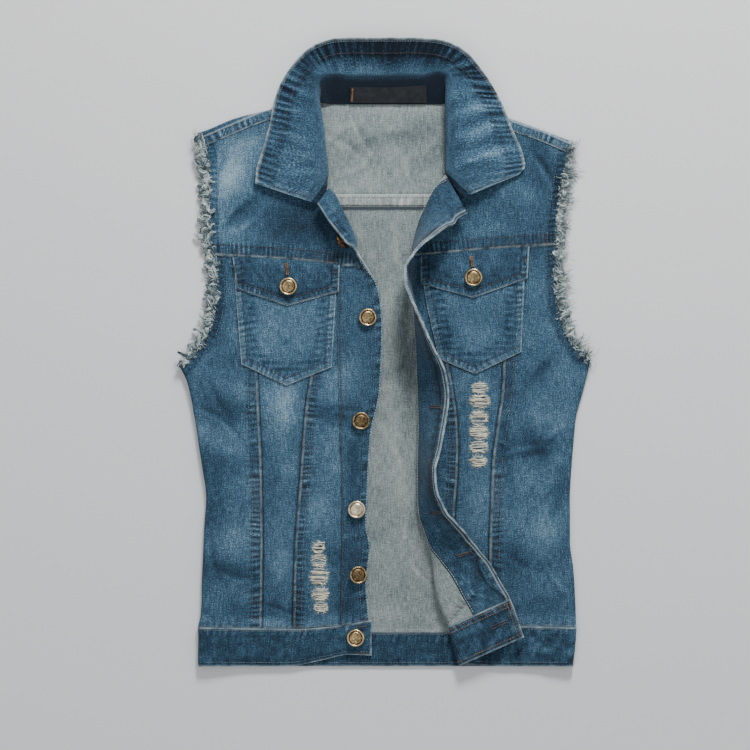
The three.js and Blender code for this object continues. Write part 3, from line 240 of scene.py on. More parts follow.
LEFT = Side(
    out=1, bend=5, armhole_end=346, yoke_end=464.5, band_end=47,
    side_edge=rows("y x", (349, 232), (327, 227), (304, 221), (281, 215), (238, 211),
                   (186, 208), (141, 208), (108, 212), (44, 215), (0, 212)),
    armhole=rows("y x", (594, 211), (575, 206), (548, 201), (503, 195), (470, 193), (438, 193),
                 (412, 195), (380, 203), (360, 215), (346, 227.5)),
    fold=rows("x y", (80, 643), (105, 631), (136, 620), (175, 606), (214, 591)),
    shoulder=rows("x y", (80, 632), (105, 619), (144, 604), (175, 593), (214, 576)),
    neck=rows("y x", (636, 81), (618, 79), (600, 77.5), (577, 77), (551.6, 72)),
    yoke=rows("x y", (34, 464.5), (117, 472), (205, 478)),
    outer=rows("y x", (474, 150), (342, 134), (319, 133), (273, 127), (227, 121), (167, 119),
               (44, 116)),
    inner=rows("y x", (468, 52), (340, 70), (319, 74), (285, 79), (250, 81), (215, 80),
               (168, 77), (120, 78.5), (80, 82), (45, 87)),
    band=rows("x y", (74.5, 47), (215, 44)),
    hem=rows("x y", (86, 0), (215, 0)),
    front=rows("y x swing width lift",
               (551.6, 69.5, 61, 62, 172), (532, 56, 52, 54, 170), (516.5, 48.7, 42, 54, 140),
               (499, 41, 35, 54, 122), (478, 35.5, 25, 54, 102), (464.5, 34, 15, 54, 91),
               (447, 34, 5, 54, 79), (431, 34, 0, 54, 80), (414, 35, 0, 54, 87),
               (390, 37, 0, 54, 98), (358, 39, 0, 54, 115), (331, 40, 0, 54, 134),
               (305, 41, 0, 54, 140), (280, 42, 0, 54, 132), (250, 41.5, 0, 54, 123),
               (220, 41, 0, 54, 114), (200, 41, -2, 54, 116), (180, 41.5, -5, 54, 127),
               (168.7, 43, -8, 54, 134), (155, 48, -12, 54, 146), (136.5, 53, -14, 57, 168),
               (119.5, 57, -15, 65, 176), (91, 59.5, -20, 80, 178), (72, 64, -22, 85, 178),
               (47, 74.5, -24.4, 88, 178), (2, 86.5, -24.4, 92, 178)),
    pocket={"left": rows("y x", (440, 42), (429, 43), (347, 60)),
            "right": rows("y x", (445, 157), (355, 153)), "point": (101, 330)},
    flap={"left": rows("y x", (464, 39.5), (432, 39.5)),
          "right": rows("y x", (471, 162), (438, 160)), "point": (99, 416)},
)
SIDES = {"right": RIGHT, "left": LEFT}

# Soft folds of the two fronts, as in the CAD
FOLDS = rows("x y angle length width height",
             (-176, 278, 150, 60, 20, -1.8), (-160, 302, 150, 55, 17, 3.4),
             (-184, 165, 10, 34, 24, 2.8), (-168, 108, 140, 46, 20, -1.4),
             (-120, 190, 84, 80, 15, 2.2), (-172, 540, 62, 44, 14, 3.2),
             (-150, 516, 50, 40, 13, -0.15), (-105, 515, 70, 26, 22, 1.0),
             (188, 160, 25, 38, 24, 3.4),
             (168, 250, 70, 48, 19, -1.6), (176, 292, 40, 50, 18, 3.0),
             (160, 118, 120, 48, 20, 2.6), (105, 215, 95, 70, 15, 2.0),
             (140, 535, 110, 46, 16, 3.0), (112, 130, 100, 45, 15, -1.2))

# The collar: neck seam, turn and outer edge, from its right point round to its left point
COLLAR = rows("nx ny nz rx ry rz ex ey ez",
              (-78, 522, 7.4, -83, 524, 8.2, -147, 545, 6),
              (-67.5, 542, 6, -70, 544, 10.5, -146, 560, 6),
              (-70, 557, 4.6, -65, 558, 10.5, -142, 574, 6),
              (-73.5, 577, 4.2, -67, 577, 11.5, -137, 590, 6),
              (-75.5, 600, 4.2, -69, 600, 12.5, -132, 609, 6),
              (-77.5, 618, 4.2, -72, 620, 13, -128, 628, 6.5),
              (-78.5, 628, 4, -75, 640, 13, -121, 652, 8),
              (-76, 637, 3.4, -75, 655, 12.5, -112, 669, 11),
              (-69, 636, 2, -69, 664, 11, -98, 687, 15),
              (-60, 635.2, 0.3, -57, 665, 9.5, -80, 701, 19),
              (-44, 635.2, 0.2, -42, 662, 8.5, -56, 708, 22),
              (-22, 635.2, 0.2, -21, 661, 8, -28, 709, 23.5),
              (0, 635.2, 0.2, 0, 661, 8, 0, 709, 24),
              (22, 635.2, 0.2, 21, 662, 8, 29, 709, 23.5),
              (44, 635.2, 0.2, 43, 664, 8.5, 58, 707, 22),
              (60, 635.2, 0.3, 59, 668, 9.5, 86, 697, 19),
              (69, 636, 2, 68, 667, 11, 106, 676, 15),
              (76, 637, 3.4, 68, 655, 12.5, 120, 656, 11),
              (78.5, 628, 4, 67.5, 640, 13, 128, 641, 8),
              (77.5, 618, 4.2, 67.5, 622, 13, 136, 624, 6.5),
              (76, 600, 4.2, 68, 599, 12.5, 143, 607, 6),
              (75.5, 577, 4.6, 68, 577, 11.5, 150, 591, 6),
              (71.5, 560, 6, 68, 561, 12.4, 155, 577, 6),
              (76, 545, 9.6, 79, 547, 12.6, 157, 565, 6),
              (89, 529.5, 10, 94, 532, 10.4, 149, 555, 6))
COLLAR_LAST = len(COLLAR) - 1

FRONT_BUTTONS = rows("y inset tip", (488, 4, 0), (394, 16, 0.06), (277, 16, 0.05),
                     (177, 14, 0), (103, 12, 0.22))
BAND_BUTTON = (-34, 32)
FLAP_BUTTONS = {"right": (-110, 429), "left": (99, 439)}


# Heights and surfaces, the same as the solids'

def band_raise(y):
    """How much higher the cloth lies over the thicker waistband."""
    return BAND_RAISE * smooth(BAND_RAISE_FROM, BAND_RAISE_TO, y)


def roll_top(y):
    return ROLL_TOP + band_raise(y)


def roll_radius(y, thickness):
    return (roll_top(y) - thickness) / 2


def side_roll_x(side, y, thickness):
    """Where the roll round a side edge begins."""
    return side.edge_x(y) - side.out * (roll_radius(y, thickness) + thickness)


def front_height(x, y):
    """Height of the front cloth's inner face over the floor."""
    x, y = np.broadcast_arrays(np.asarray(x, float), np.asarray(y, float))
    base = REST + band_raise(y)
    height = base.copy()
    for fold in FOLDS:
        along, across = along_and_across(x, y, fold)
        height += fold["height"] * bell(along / fold["length"]) * bell(across / fold["width"])
    height = np.maximum(height, base - 0.2)
    puffed = np.empty_like(height)
    for side in (RIGHT, LEFT):
        past = np.maximum(0, y - side.armhole_end)
        roll = side_roll_x(side, np.minimum(y, side.armhole_end), DENIM)
        near_side = bell(np.hypot(x - roll, past) / SIDE_PUFF)
        from_shoulder = side.fold_y(x) - ROLL_TOP / 2 - DENIM / 2 - y
        near_shoulder = bell(from_shoulder / SHOULDER_PUFF) * smooth(60, 95, np.abs(x))
        share = 1 - (1 - near_side) * (1 - near_shoulder)
        here = x < 0 if side is RIGHT else x >= 0
        puffed[here] = mix(height, roll_top(y), share)[here]
    return puffed


def points(x, y, z):
    return np.stack(np.broadcast_arrays(x, y, z), -1).astype(float)


def flat_point(x, y):
    """A point of a front's flat cloth, and its plan."""
    return points(x, y, front_height(x, y)), points(x, y, 0)


def front_normal(x, y):
    dx = front_height(x + 1, y) - front_height(x - 1, y)
    dy = front_height(x, y + 1) - front_height(x, y - 1)
    return unit(points(-dx / 2, -dy / 2, 1))


def front_strip(side, y, s):
    """A point of a front's inner face, s along the cloth from its front edge, and where that
    point lies when the cloth is unrolled flat."""
    x, width = side.turn_x(y), side.width(y)
    start = front_height(x, y)
    if side.flat:
        t = (s - width) / (PLACKET - width)
        px, py = mix(x, side.seam_x(y), t), mix(y, side.seam_y(y), t)
    else:
        px, py = x, y
    swing = np.radians(side.swing(y))
    lift = np.radians(np.maximum(0, side.lift(y)))
    turned = np.maximum(width - s, 0)
    angle = np.minimum(turned / side.bend, lift)
    straight = turned - angle * side.bend
    over = side.bend * np.sin(angle) + straight * np.cos(angle)
    up = side.bend * (1 - np.cos(angle)) + straight * np.sin(angle)
    bent = (points(x - side.out * np.cos(swing) * over, y + np.sin(swing) * over, start + up),
            points(x - side.out * np.cos(swing) * turned, y + np.sin(swing) * turned, 0))
    return choose(s >= width, flat_point(px, py), bent)


def underlap(side, y):
    """How far the front's cloth goes on under the back, inside the side roll."""
    return mix(UNDERLAP, UNDERLAP_LEAST,
               smooth(side.armhole_end - UNDERLAP_RUN, side.armhole_end, y))


def side_roll(side, y, u, thickness):
    """The roll round a side edge, for u from 1 to 2, and the lap under it, to 3."""
    radius = roll_radius(y, thickness)
    x = side_roll_x(side, y, thickness)
    angle = np.pi * (np.clip(u, 1, 2) - 1)
    lap = underlap(side, y) * np.maximum(u - 2, 0)
    place = points(x + side.out * (radius * np.sin(angle) - lap), y,
                   thickness + radius * (1 + np.cos(angle)))
    return place, points(x + side.out * (radius * angle + lap), y, 0)


def coons(top, bottom, first, second):
    """Patch between four curves in plan: top and bottom run with u, first and second with v."""
    corners = [np.array(c, float) for c in (top(0.0), top(1.0), bottom(0.0), bottom(1.0))]

    def plan(u, v):
        t, b, f, s = (np.stack(np.broadcast_arrays(*c), -1)
                      for c in (top(u), bottom(u), first(v), second(v)))
        u, v = np.asarray(u, float)[..., None], np.asarray(v, float)[..., None]
        ruled = mix(t, b, v) + mix(f, s, u)
        ruled = ruled - mix(mix(corners[0], corners[1], u), mix(corners[2], corners[3], u), v)
        return ruled[..., 0], ruled[..., 1]

    return plan


# Repeatable smooth noise

def noise_line(s, step, seed):
    """Smooth random values from -1 to 1 along a line."""
    values = np.random.default_rng(seed).uniform(-1, 1, 4096)
    place = np.asarray(s, float) / step + 500
    i = np.floor(place).astype(int)
    t = place - i
    t = t * t * (3 - 2 * t)
    return mix(values[i % 4096], values[(i + 1) % 4096], t)


def noise_plane(x, y, step, seed):
    """Smooth random values from -1 to 1 over a plane."""
    values = np.random.default_rng(seed).uniform(-1, 1, (256, 256))
    px, py = np.asarray(x, float) / step + 300, np.asarray(y, float) / step + 300
    i, j = np.floor(px).astype(int), np.floor(py).astype(int)
    a, b = px - i, py - j
    a, b = a * a * (3 - 2 * a), b * b * (3 - 2 * b)
    i, j, i1, j1 = i % 256, j % 256, (i + 1) % 256, (j + 1) % 256
    return mix(mix(values[i, j], values[i1, j], a), mix(values[i, j1], values[i1, j1], a), b)


class Line:
    """A line in plan. near() gives how far along it a point lies, and how far to its left."""

    def __init__(self, line):
        self.points = np.array(line, float)
        self.steps = np.diff(self.points, axis=0)
        self.lengths = np.maximum(np.hypot(*self.steps.T), 1e-9)
        self.at = np.concatenate([[0], np.cumsum(self.lengths)])

    def near(self, cloth, reach):
        shape = cloth.shape[:-1]
        xy = cloth[..., :2].reshape(-1, 2)
        along = np.zeros(len(xy))
        left = np.full(len(xy), FAR)
        lowest, highest = self.points.min(0) - reach, self.points.max(0) + reach
        close = np.flatnonzero(np.all((xy > lowest) & (xy < highest), 1))
        if len(close):
            p = xy[close]
            best = np.full(len(p), np.inf)
            a, d = np.zeros(len(p)), np.zeros(len(p))
            for start, step, length, at in zip(self.points, self.steps, self.lengths, self.at):
                unit = step / length
                rel = p - start
                t = np.clip(rel @ unit, 0, length)
                gap = rel - t[:, None] * unit
                distance = np.hypot(gap[:, 0], gap[:, 1])
                cross = unit[0] * rel[:, 1] - unit[1] * rel[:, 0]
                closer = distance < best
                best = np.where(closer, distance, best)
                a = np.where(closer, at + t, a)
                d = np.where(closer, np.where(cross >= 0, distance, -distance), d)
            along[close], left[close] = a, d
        return along.reshape(shape), left.reshape(shape)

    def shifted(self, offset):
        """The points of the line moved to its left, at about 1 mm steps."""
        at = np.arange(0, self.at[-1], 1.0)
        x = np.interp(at, self.at, self.points[:, 0])
        y = np.interp(at, self.at, self.points[:, 1])
        soft = 5
        dx, dy = np.gradient(x), np.gradient(y)
        kernel = np.ones(soft) / soft
        dx = np.convolve(np.pad(dx, soft // 2, "edge"), kernel, "valid")
        dy = np.convolve(np.pad(dy, soft // 2, "edge"), kernel, "valid")
        size = np.hypot(dx, dy)
        return np.stack([x - dy / size * offset, y + dx / size * offset], -1)


class Look:
    """What the cloth does at each of its points: relief in mm along its outer normal, fade
    from dark to light, which is the dye's fading together with painted shade and painted highlights,
    pale where it is worn to its white core, and brown where thread has stained."""

    def __init__(self, cloth, tone, seed, ripple=0.22):
        x, y = cloth[..., 0], cloth[..., 1]
        self.cloth = cloth
        self.relief = (ripple * noise_plane(x, y, 24, seed)
                       + 0.35 * ripple * noise_plane(x, y, 9, seed + 1))
        self.fade = (tone + 0.05 * noise_plane(x, y, 34, seed + 2)
                     + 0.022 * noise_plane(x, y, 9, seed + 3))
        self.pale = np.zeros(x.shape)
        self.brown = np.zeros(x.shape)

    def seam(self, line, side=1, width=11.0, pitch=6.5, ridge=0.34, rise=0.55, light=0.17, seed=1,
             worn=0.5, tone=-0.05):
        """Puckered topstitched band on one side of a seam: the puckers lighter on their ridges and
        darker in their hollows, partly worn and partly painted shading, painted shade in the grooves of
        its two rows, and its worn fold beside a painted shadow line where the seam steps down.
        """
        s, d = line.near(self.cloth, width + 16)
        d = d * side
        band = smooth(-0.9, 0.5, d) * smooth(width + 2.0, width - 2.2, d)
        phase = 2 * np.pi * s / pitch + 3.6 * noise_line(s, 12, seed)
        strength = 0.62 + 0.42 * noise_line(s, 13, seed + 1)
        slant = 0.22 * d * noise_line(s, 26, seed + 2)
        wave = np.sin(phase + slant) * strength + 0.22 * noise_plane(s, d, 2.6, seed + 6)
        apart = bell((d - width) / 7) * (d > width) + bell(d / 5) * (d < 0) * 0.7
        self.relief += band * (rise + ridge * wave) + 0.4 * ridge * wave * apart
        # The puckers' colour follows their height: partly worn ridges, partly painted shading
        self.fade += (band * (light * (wave + 0.5 * wave * np.abs(wave)) + tone)
                      + 0.35 * light * wave * apart)
        # Painted shadow just outside the band, where the seam steps down
        self.fade -= 0.38 * bell((d + 1.6) / 1.2)
        # Painted shade in the grooves of the two rows
        for row in (ROW_INSET, width - ROW_INSET):
            groove = bell((d - row) / 0.9)
            self.relief -= 0.16 * groove
            self.fade -= 0.07 * groove
        self.pale += 1.1 * worn * bell((d - 0.3) / 0.75) * (0.6 + 0.5 * noise_line(s, 4, seed + 3))
        self.brown += 0.3 * band * smooth(-0.2, 0.9, noise_line(s, 9, seed + 5))

    def edge(self, distance, along, width=9.0, pitch=7.0, ridge=0.3, light=0.16, seed=1, worn=0.8,
             worn_width=1.0, tone=0.0):
        """A folded and topstitched edge: puckers across it, lighter on their ridges and darker in their
        hollows, partly worn and partly painted shading, painted shade in the grooves of its rows, and
        its rim worn white.
        """
        band = smooth(width + 2.5, width - 1.5, distance)
        phase = 2 * np.pi * along / pitch + 3.4 * noise_line(along, 13, seed) + 0.15 * distance
        wave = np.sin(phase) * (0.62 + 0.42 * noise_line(along, 15, seed + 1))
        self.relief += band * ridge * wave
        # The puckers' colour follows their height: partly worn ridges, partly painted shading
        self.fade += band * (light * wave + tone)
        # Painted shade in the grooves of the rows
        groove = bell((distance - width) / 1.0) + 0.6 * bell((distance - 2.2) / 0.8)
        self.relief -= 0.2 * groove
        self.fade -= 0.08 * groove
        patchy = 0.62 + 0.38 * noise_line(along, 6, seed + 3)
        self.pale += worn * bell(distance / worn_width) * patchy

    def patches(self, table):
        """Lighter and darker places, partly the cloth's own fading and partly painted shading of its
        folds and painted shadows: the middle, the direction, the half sizes.
        """
        x, y = self.cloth[..., 0], self.cloth[..., 1]
        for row in table:
            along, across = along_and_across(x, y, row)
            self.fade += row["amount"] * bell(along / row["length"]) * bell(across / row["width"])
        return self

    def creases(self, table):
        """Sharp small creases: a ridge lightened, partly worn and partly a painted highlight, with painted
        shade in the hollow beside it.
        """
        x, y = self.cloth[..., 0], self.cloth[..., 1]
        for row in table:
            along, across = along_and_across(x, y, row)
            across = across + row["bow"] * np.square(along / row["length"])
            taper = bell(along / row["length"])
            ridge = bell(across / row["width"]) * taper
            hollow = bell((across + 1.9 * row["width"]) / row["width"]) * taper
            self.relief += row["height"] * (ridge - 0.5 * hollow)
            # Painted highlight on the ridge and painted shade in the hollow
            self.fade += 0.17 * row["height"] * (ridge - 0.8 * hollow)
        return self


def walk(place, *spans):
    """The points of a plan curve as a list, for spans of its parameter with a count each."""
    return [tuple(float(c) for c in place(t)) for a, b, n in spans for t in np.linspace(a, b, n)]


def line_up(x_at, bottom, top, count=90):
    return Line(walk(lambda y: (x_at(y), y), (bottom, top, count)))


def line_across(y_at, first, second, count=60):
    low, high = sorted((first, second))
    return Line(walk(lambda x: (x, y_at(x)), (low, high, count)))


def front_lines(side):
    """Seams of a front, in plan."""
    bottom = 44
    arm_top = side.shoulder_y(side.armhole_x(586)) + 20
    yoke_end = side.front_x(side.yoke_end) + (42 if side.flat else -10)
    band_end = -14 if side.flat else side.turn_x(side.band_end) - 60
    return {
        "yoke": line_across(side.yoke_y, side.armhole_x(470), yoke_end),
        "outer": line_up(side.outer_x, bottom, side.yoke_y(side.outer_x(NEAR_YOKE))),
        "inner": line_up(side.inner_x, bottom, side.yoke_y(side.inner_x(NEAR_YOKE))),
        "band": line_across(side.band_y, side.edge_x(42), band_end),
        "shoulder": line_across(side.shoulder_y, side.out * 74, side.shoulder_tip["x"], 40),
        "armhole": line_up(side.armhole_x, side.armhole_end, arm_top),
    }


LINES = {side: front_lines(side) for side in (RIGHT, LEFT)}
BACK_X = through(rows("y x", (BAND_TOP_BACK, 57), (80, 58), (BACK_YOKE_SEAM, 95)), "y", "x")
BACK_LINES = {
    "yoke": Line([(-215, BACK_YOKE_SEAM), (215, BACK_YOKE_SEAM)]),
    "right": line_up(lambda y: -BACK_X(y), BAND_TOP_BACK, BACK_YOKE_SEAM, 40),
    "left": line_up(BACK_X, BAND_TOP_BACK, BACK_YOKE_SEAM, 40),
}

# The lighter and darker places of the fronts: partly the cloth's own fading, and partly painted
# shading of the soft folds with a painted shadow under the collar
FRONT_FADE_AND_SHADE = rows("x y angle length width amount",
            (-180, 554, 60, 26, 16, 0.17), (-163, 518, 45, 32, 11, -0.15),
            (-127, 508, 0, 42, 26, -0.15), (-84, 500, 20, 44, 26, -0.26), (180, 520, 80, 50, 30, -0.12),
            (120, 520, 0, 60, 40, -0.08), (-168, 493, 20, 27, 9, 0.09), (-152, 592, 25, 34, 8, 0.07),
            (-180, 286, 150, 24, 14, -0.2), (-172, 309, 145, 32, 11, 0.12),
            (-196, 256, 145, 30, 13, 0.14), (-172, 226, 10, 22, 11, -0.1),
            (-178, 142, 0, 30, 21, 0.14), (-178, 108, 168, 36, 11, -0.21), (-205, 227, 80, 36, 6, -0.12),
            (-116, 303, 90, 32, 22, 0.22), (-132, 210, 90, 26, 15, -0.07),
            (-122, 120, 90, 35, 12, 0.13), (-129, 71, 90, 17, 12, -0.13), (-132, 50, 0, 20, 7, 0.14),
            (-51, 323, 90, 24, 17, 0.17), (-59, 287, 170, 34, 12, -0.2), (-76, 178, 90, 30, 16, 0.14),
            (-40, 122, 0, 26, 21, -0.2), (-45, 75, 90, 30, 18, -0.16), (-68, 221, 90, 28, 13, -0.03),
            (181, 566, 130, 28, 9, -0.16), (162, 531, 150, 28, 14, 0.13), (130, 508, 0, 34, 12, -0.03),
            (107, 495, 10, 34, 8, 0.05), (198, 538, 80, 29, 6, -0.1),
            (96, 329, 0, 20, 12, 0.05), (107, 199, 80, 34, 14, 0.07),
            (172, 330, 45, 22, 12, -0.14), (176, 284, 0, 30, 18, 0.12), (167, 249, 8, 38, 12, -0.21),
            (158, 210, 0, 30, 18, 0.06), (184, 156, 60, 30, 16, 0.17), (193, 182, 80, 22, 7, -0.11),
            (148, 124, 0, 26, 18, -0.14), (198, 95, 130, 13, 5, 0.13), (175, 69, 0, 34, 12, -0.06),
            (141, 165, 0, 22, 16, 0.05), (-165, 560, 80, 44, 24, 0.19), (-186, 520, 90, 34, 12, 0.14),
            (-112, 415, 90, 34, 20, 0.10), (-140, 470, 0, 20, 9, -0.10), (-66, 470, 0, 16, 9, -0.08),
            (-186, 400, 80, 60, 14, -0.10), (-186, 190, 90, 50, 8, -0.08), (118, 465, 0, 50, 14, -0.10),
            (60, 395, 85, 50, 8, -0.14), (150, 395, 85, 44, 7, -0.10), (-150, 400, 95, 40, 7, -0.12),
            (-68, 400, 85, 40, 7, -0.12), (120, 120, 80, 50, 8, -0.10), (-100, 60, 90, 30, 8, -0.10),
            (196, 250, 80, 60, 10, 0.08), (150, 300, 118, 70, 11, -0.14), (190, 225, 118, 60, 12, -0.12),
            (172, 268, 118, 70, 9, 0.12), (140, 215, 95, 60, 8, -0.12), (-196, 190, 85, 70, 9, -0.12),
            (-150, 190, 92, 90, 12, 0.08), (-116, 250, 90, 60, 12, 0.10), (-60, 240, 90, 60, 10, 0.08),
            (-36, 200, 90, 60, 8, -0.12), (-150, 60, 0, 50, 10, -0.10))

# Small sharp creases on the fronts
CREASES = rows("x y angle length width height bow",
               (-176, 512, 48, 26, 3.2, 0.8, 4), (-160, 496, 28, 18, 2.6, 0.5, -3),
               (-188, 575, 70, 20, 3.0, 0.5, 2), (-196, 300, 118, 22, 3.4, 0.6, 3),
               (-186, 274, 142, 26, 3.2, 0.7, -4), (-200, 120, 100, 22, 3.2, 0.6, 3),
               (-168, 96, 165, 24, 3.2, 0.6, 4), (-44, 286, 172, 20, 2.6, 0.6, -2),
               (-60, 268, 160, 18, 2.8, 0.4, 2), (-36, 148, 10, 14, 2.4, 0.5, 2),
               (-66, 112, 150, 22, 2.8, 0.4, 3), (-122, 62, 160, 18, 2.2, 0.6, -3),
               (176, 560, 122, 24, 3.0, 0.8, -3), (188, 520, 100, 22, 2.8, 0.5, 2),
               (160, 246, 8, 30, 3.4, 0.8, 4), (188, 262, 40, 18, 2.8, 0.5, -2),
               (196, 92, 128, 13, 2.0, 0.8, 2), (150, 112, 150, 24, 3.0, 0.5, 3),
               (170, 340, 50, 22, 3.0, 0.5, 3), (104, 390, 100, 20, 2.0, 0.35, 2),
               (112, 372, 80, 22, 1.8, 0.35, -2), (-104, 232, 86, 30, 3.0, 0.3, 2))


# Places where the warp is worn through, and only threads of the weft are left
LADDERS = rows("x y width height",
               (-76, 134.5, 11, 12), (-75.5, 119, 14, 14), (-75, 101, 17, 17), (-74, 81, 15, 14),
               (-73, 66, 13, 11),
               (106.5, 314, 15, 11), (106, 299, 18, 14), (105, 281, 17, 14), (105.5, 264, 18, 14),
               (105, 247, 17, 12), (105, 231, 15, 11))


def wear_through(look):
    """Dark gaps with frayed pale borders where the cloth is worn through."""
    x, y = look.cloth[..., 0], look.cloth[..., 1]
    for hole in LADDERS:
        if not (x.min() < hole["x"] < x.max() and y.min() < hole["y"] < y.max()):
            continue
        a, b = (x - hole["x"]) / hole["width"] * 2, (y - hole["y"]) / hole["height"] * 2
        ragged = np.hypot(a, b) + 0.16 * noise_plane(x, y, 3.5, 141)
        inside = smooth(1.05, 0.8, ragged)
        border = bell((ragged - 1.15) / 0.2)
        slits = smooth(-0.1, 0.6, noise_plane(x * 0.3, y, 1.3, 142)) * inside
        look.pale += 0.62 * inside * (1 - slits) + 0.22 * border
        look.fade -= 0.28 * slits
        look.relief -= 0.5 * inside


def front_look(side, cloth, tone=0.5):
    """What every piece of a front shares: fading with painted shading, creases and the seams that cross it.
    """
    lines, out = LINES[side], side.out
    look = Look(cloth, tone, 10)
    look.patches(FRONT_FADE_AND_SHADE)
    look.creases(CREASES)
    look.seam(lines["yoke"], 1, width=13, pitch=4.6, ridge=0.42, rise=0.6, light=0.2, seed=21,
              worn=0.6, tone=-0.09)
    look.seam(lines["outer"], -out, width=12, pitch=6.2, ridge=0.36, rise=0.55, light=0.22, seed=22,
              worn=0.6, tone=-0.09)
    look.seam(lines["inner"], out, width=10, pitch=6.0, ridge=0.34, rise=0.5, light=0.2, seed=23,
              worn=0.55, tone=-0.09)
    look.seam(lines["band"], 1, width=5, pitch=7.5, ridge=0.3, rise=0.15, light=0.12, seed=24,
              worn=0.25, tone=0.05)
    s, d = lines["armhole"].near(cloth, 24)
    look.edge(np.abs(d), s, width=11, pitch=5.6, ridge=0.32, light=0.17, seed=25, worn=0.35,
              worn_width=2.2, tone=-0.15)
    near_hem = cloth[..., 1] - side.band_y(cloth[..., 0])
    look.fade += 0.05 * smooth(20, 2, near_hem)
    wear_through(look)
    return look


class Piece:
    """A cloth piece: its surface gives the inner face and the cloth's own plan."""

    def __init__(self, name, surface, columns, lines, thickness, facing, look, active=None, lift=0,
                 outside="denim_out", inside="denim_in", slot="denim_front"):
        self.name, self.surface, self.thickness, self.facing = name, surface, thickness, facing
        self.columns, self.lines = np.asarray(columns, float), np.asarray(lines, float)
        self.look, self.active, self.lift = look, active, lift
        self.outside, self.inside, self.slot = outside, inside, slot

    def grid(self):
        """Its parameters as a net, and which of the net's cells are cloth."""
        u, v = np.meshgrid(self.columns, self.lines)
        if self.active is None:
            return u, v, np.ones((u.shape[0] - 1, u.shape[1] - 1), bool)
        return u, v, self.active(u[:-1, :-1], v[:-1, :-1])

    def face(self, u, v, outer=True, above=0.0):
        """Points on the finished cloth, and the normals there, for what is sewn on it."""
        u, v = np.broadcast_arrays(np.asarray(u, float), np.asarray(v, float))
        place, cloth = self.surface(u, v)
        normal = normal_of(self.surface, u, v, self.facing)
        relief = self.look(cloth, u, v).relief
        reach = self.lift + relief + (self.thickness + above if outer else -above)
        return place + normal * reach[..., None], normal if outer else -normal


def fine(*spans):
    """Joined steps of a parameter: start, end and count for each span."""
    parts = [np.linspace(a, b, n + 1) for a, b, n in spans]
    return np.concatenate([parts[0], *(p[1:] for p in parts[1:])])


def build_shell(piece):
    """The closed thin shell of a cloth piece, as a mesh object."""
    u, v, cells = piece.grid()
    place, cloth = piece.surface(u, v)
    normal = normal_of(piece.surface, u, v, piece.facing)
    look = piece.look(cloth, u, v)
    inner = place + normal * (piece.lift + look.relief)[..., None]
    outer = inner + normal * piece.thickness
    down, across = u.shape
    count = down * across
    j, i = np.nonzero(cells)
    a, b = j * across + i, j * across + i + 1
    c, d = b + across, a + across
    faces_in = np.stack([a, d, c, b], 1)
    faces_out = np.stack([a, b, c, d], 1) + count
    padded = np.pad(cells, 1)
    rims = []
    for dj, di, first, second in ((-1, 0, a, b), (0, 1, b, c), (1, 0, c, d), (0, -1, d, a)):
        free = ~padded[j + 1 + dj, i + 1 + di]
        p, q = first[free], second[free]
        rims.append(np.stack([p, q, q + count, p + count], 1))
    rim = np.concatenate(rims)
    faces = np.concatenate([faces_in, faces_out, rim])
    if piece.facing < 0:
        faces = faces[:, ::-1]
    kinds = np.concatenate([np.ones(len(faces_in)), np.zeros(len(faces_out) + len(rim))])
    sharp = np.concatenate([rim[:, :2], rim[:, 2:]])
    positions = np.concatenate([inner.reshape(-1, 3), outer.reshape(-1, 3)])
    # Fading with painted shade, worn pale and thread stain, for the shader
    wear_and_shade = np.stack([look.fade, look.pale, look.brown], -1).reshape(-1, 3)
    obj = mesh_object(piece.name, positions, faces, kinds, sharp,
                      np.concatenate([wear_and_shade, wear_and_shade]), np.tile(cloth.reshape(-1, 3), (2, 1)))
    for look_name in (piece.outside, piece.inside):
        obj.data.materials.append(MATERIALS[look_name])
    return obj


def mesh_object(name, positions, faces, kinds=None, sharp=None, wear_and_shade=None, cloth=None):
    """A mesh object from arrays in the garment's millimetres. Points that no face uses go."""
    used, index = np.unique(faces, return_inverse=True)
    faces = index.reshape(faces.shape)
    mesh = bpy.data.meshes.new(name)
    corners = faces.shape[1]
    mesh.vertices.add(len(used))
    mesh.vertices.foreach_set("co", ((positions[used] + SHIFT) * MM).astype(np.float32).ravel())
    mesh.loops.add(faces.size)
    mesh.loops.foreach_set("vertex_index", faces.astype(np.int32).ravel())
    mesh.polygons.add(len(faces))
    mesh.polygons.foreach_set("loop_start", np.arange(0, faces.size, corners, dtype=np.int32))
    if kinds is not None:
        mesh.polygons.foreach_set("material_index", kinds.astype(np.int32))
    mesh.update(calc_edges=True)
    mesh.polygons.foreach_set("use_smooth", np.ones(len(faces), bool))
    if sharp is not None:
        total = len(used)
        lookup = np.zeros(used.max() + 1, np.int64)
        lookup[used] = np.arange(total)
        ends = np.sort(lookup[sharp], 1)
        edges = np.empty(len(mesh.edges) * 2, np.int32)
        mesh.edges.foreach_get("vertices", edges)
        edges = np.sort(edges.reshape(-1, 2), 1).astype(np.int64)
        marked = np.isin(edges[:, 0] * total + edges[:, 1], ends[:, 0] * total + ends[:, 1])
        attribute = mesh.attributes.new("sharp_edge", "BOOLEAN", "EDGE")
        attribute.data.foreach_set("value", marked)
    if wear_and_shade is not None:
        colours = np.concatenate([wear_and_shade[used], np.ones((len(used), 1))], 1).astype(np.float32)
        mesh.attributes.new("wear_and_shade", "FLOAT_COLOR", "POINT").data.foreach_set("color", colours.ravel())
    if cloth is not None:
        where = cloth[used].astype(np.float32)
        mesh.attributes.new("cloth", "FLOAT_VECTOR", "POINT").data.foreach_set("vector", where.ravel())
    mesh.validate()
    obj = bpy.data.objects.new(name, mesh)
    bpy.context.scene.collection.objects.link(obj)
    return obj


# The collar's surface

COLLAR_CURVES = {column: through([{"i": i, "value": row[column]} for i, row in enumerate(COLLAR)],
                                 "i", "value") for column in COLLAR[0]}


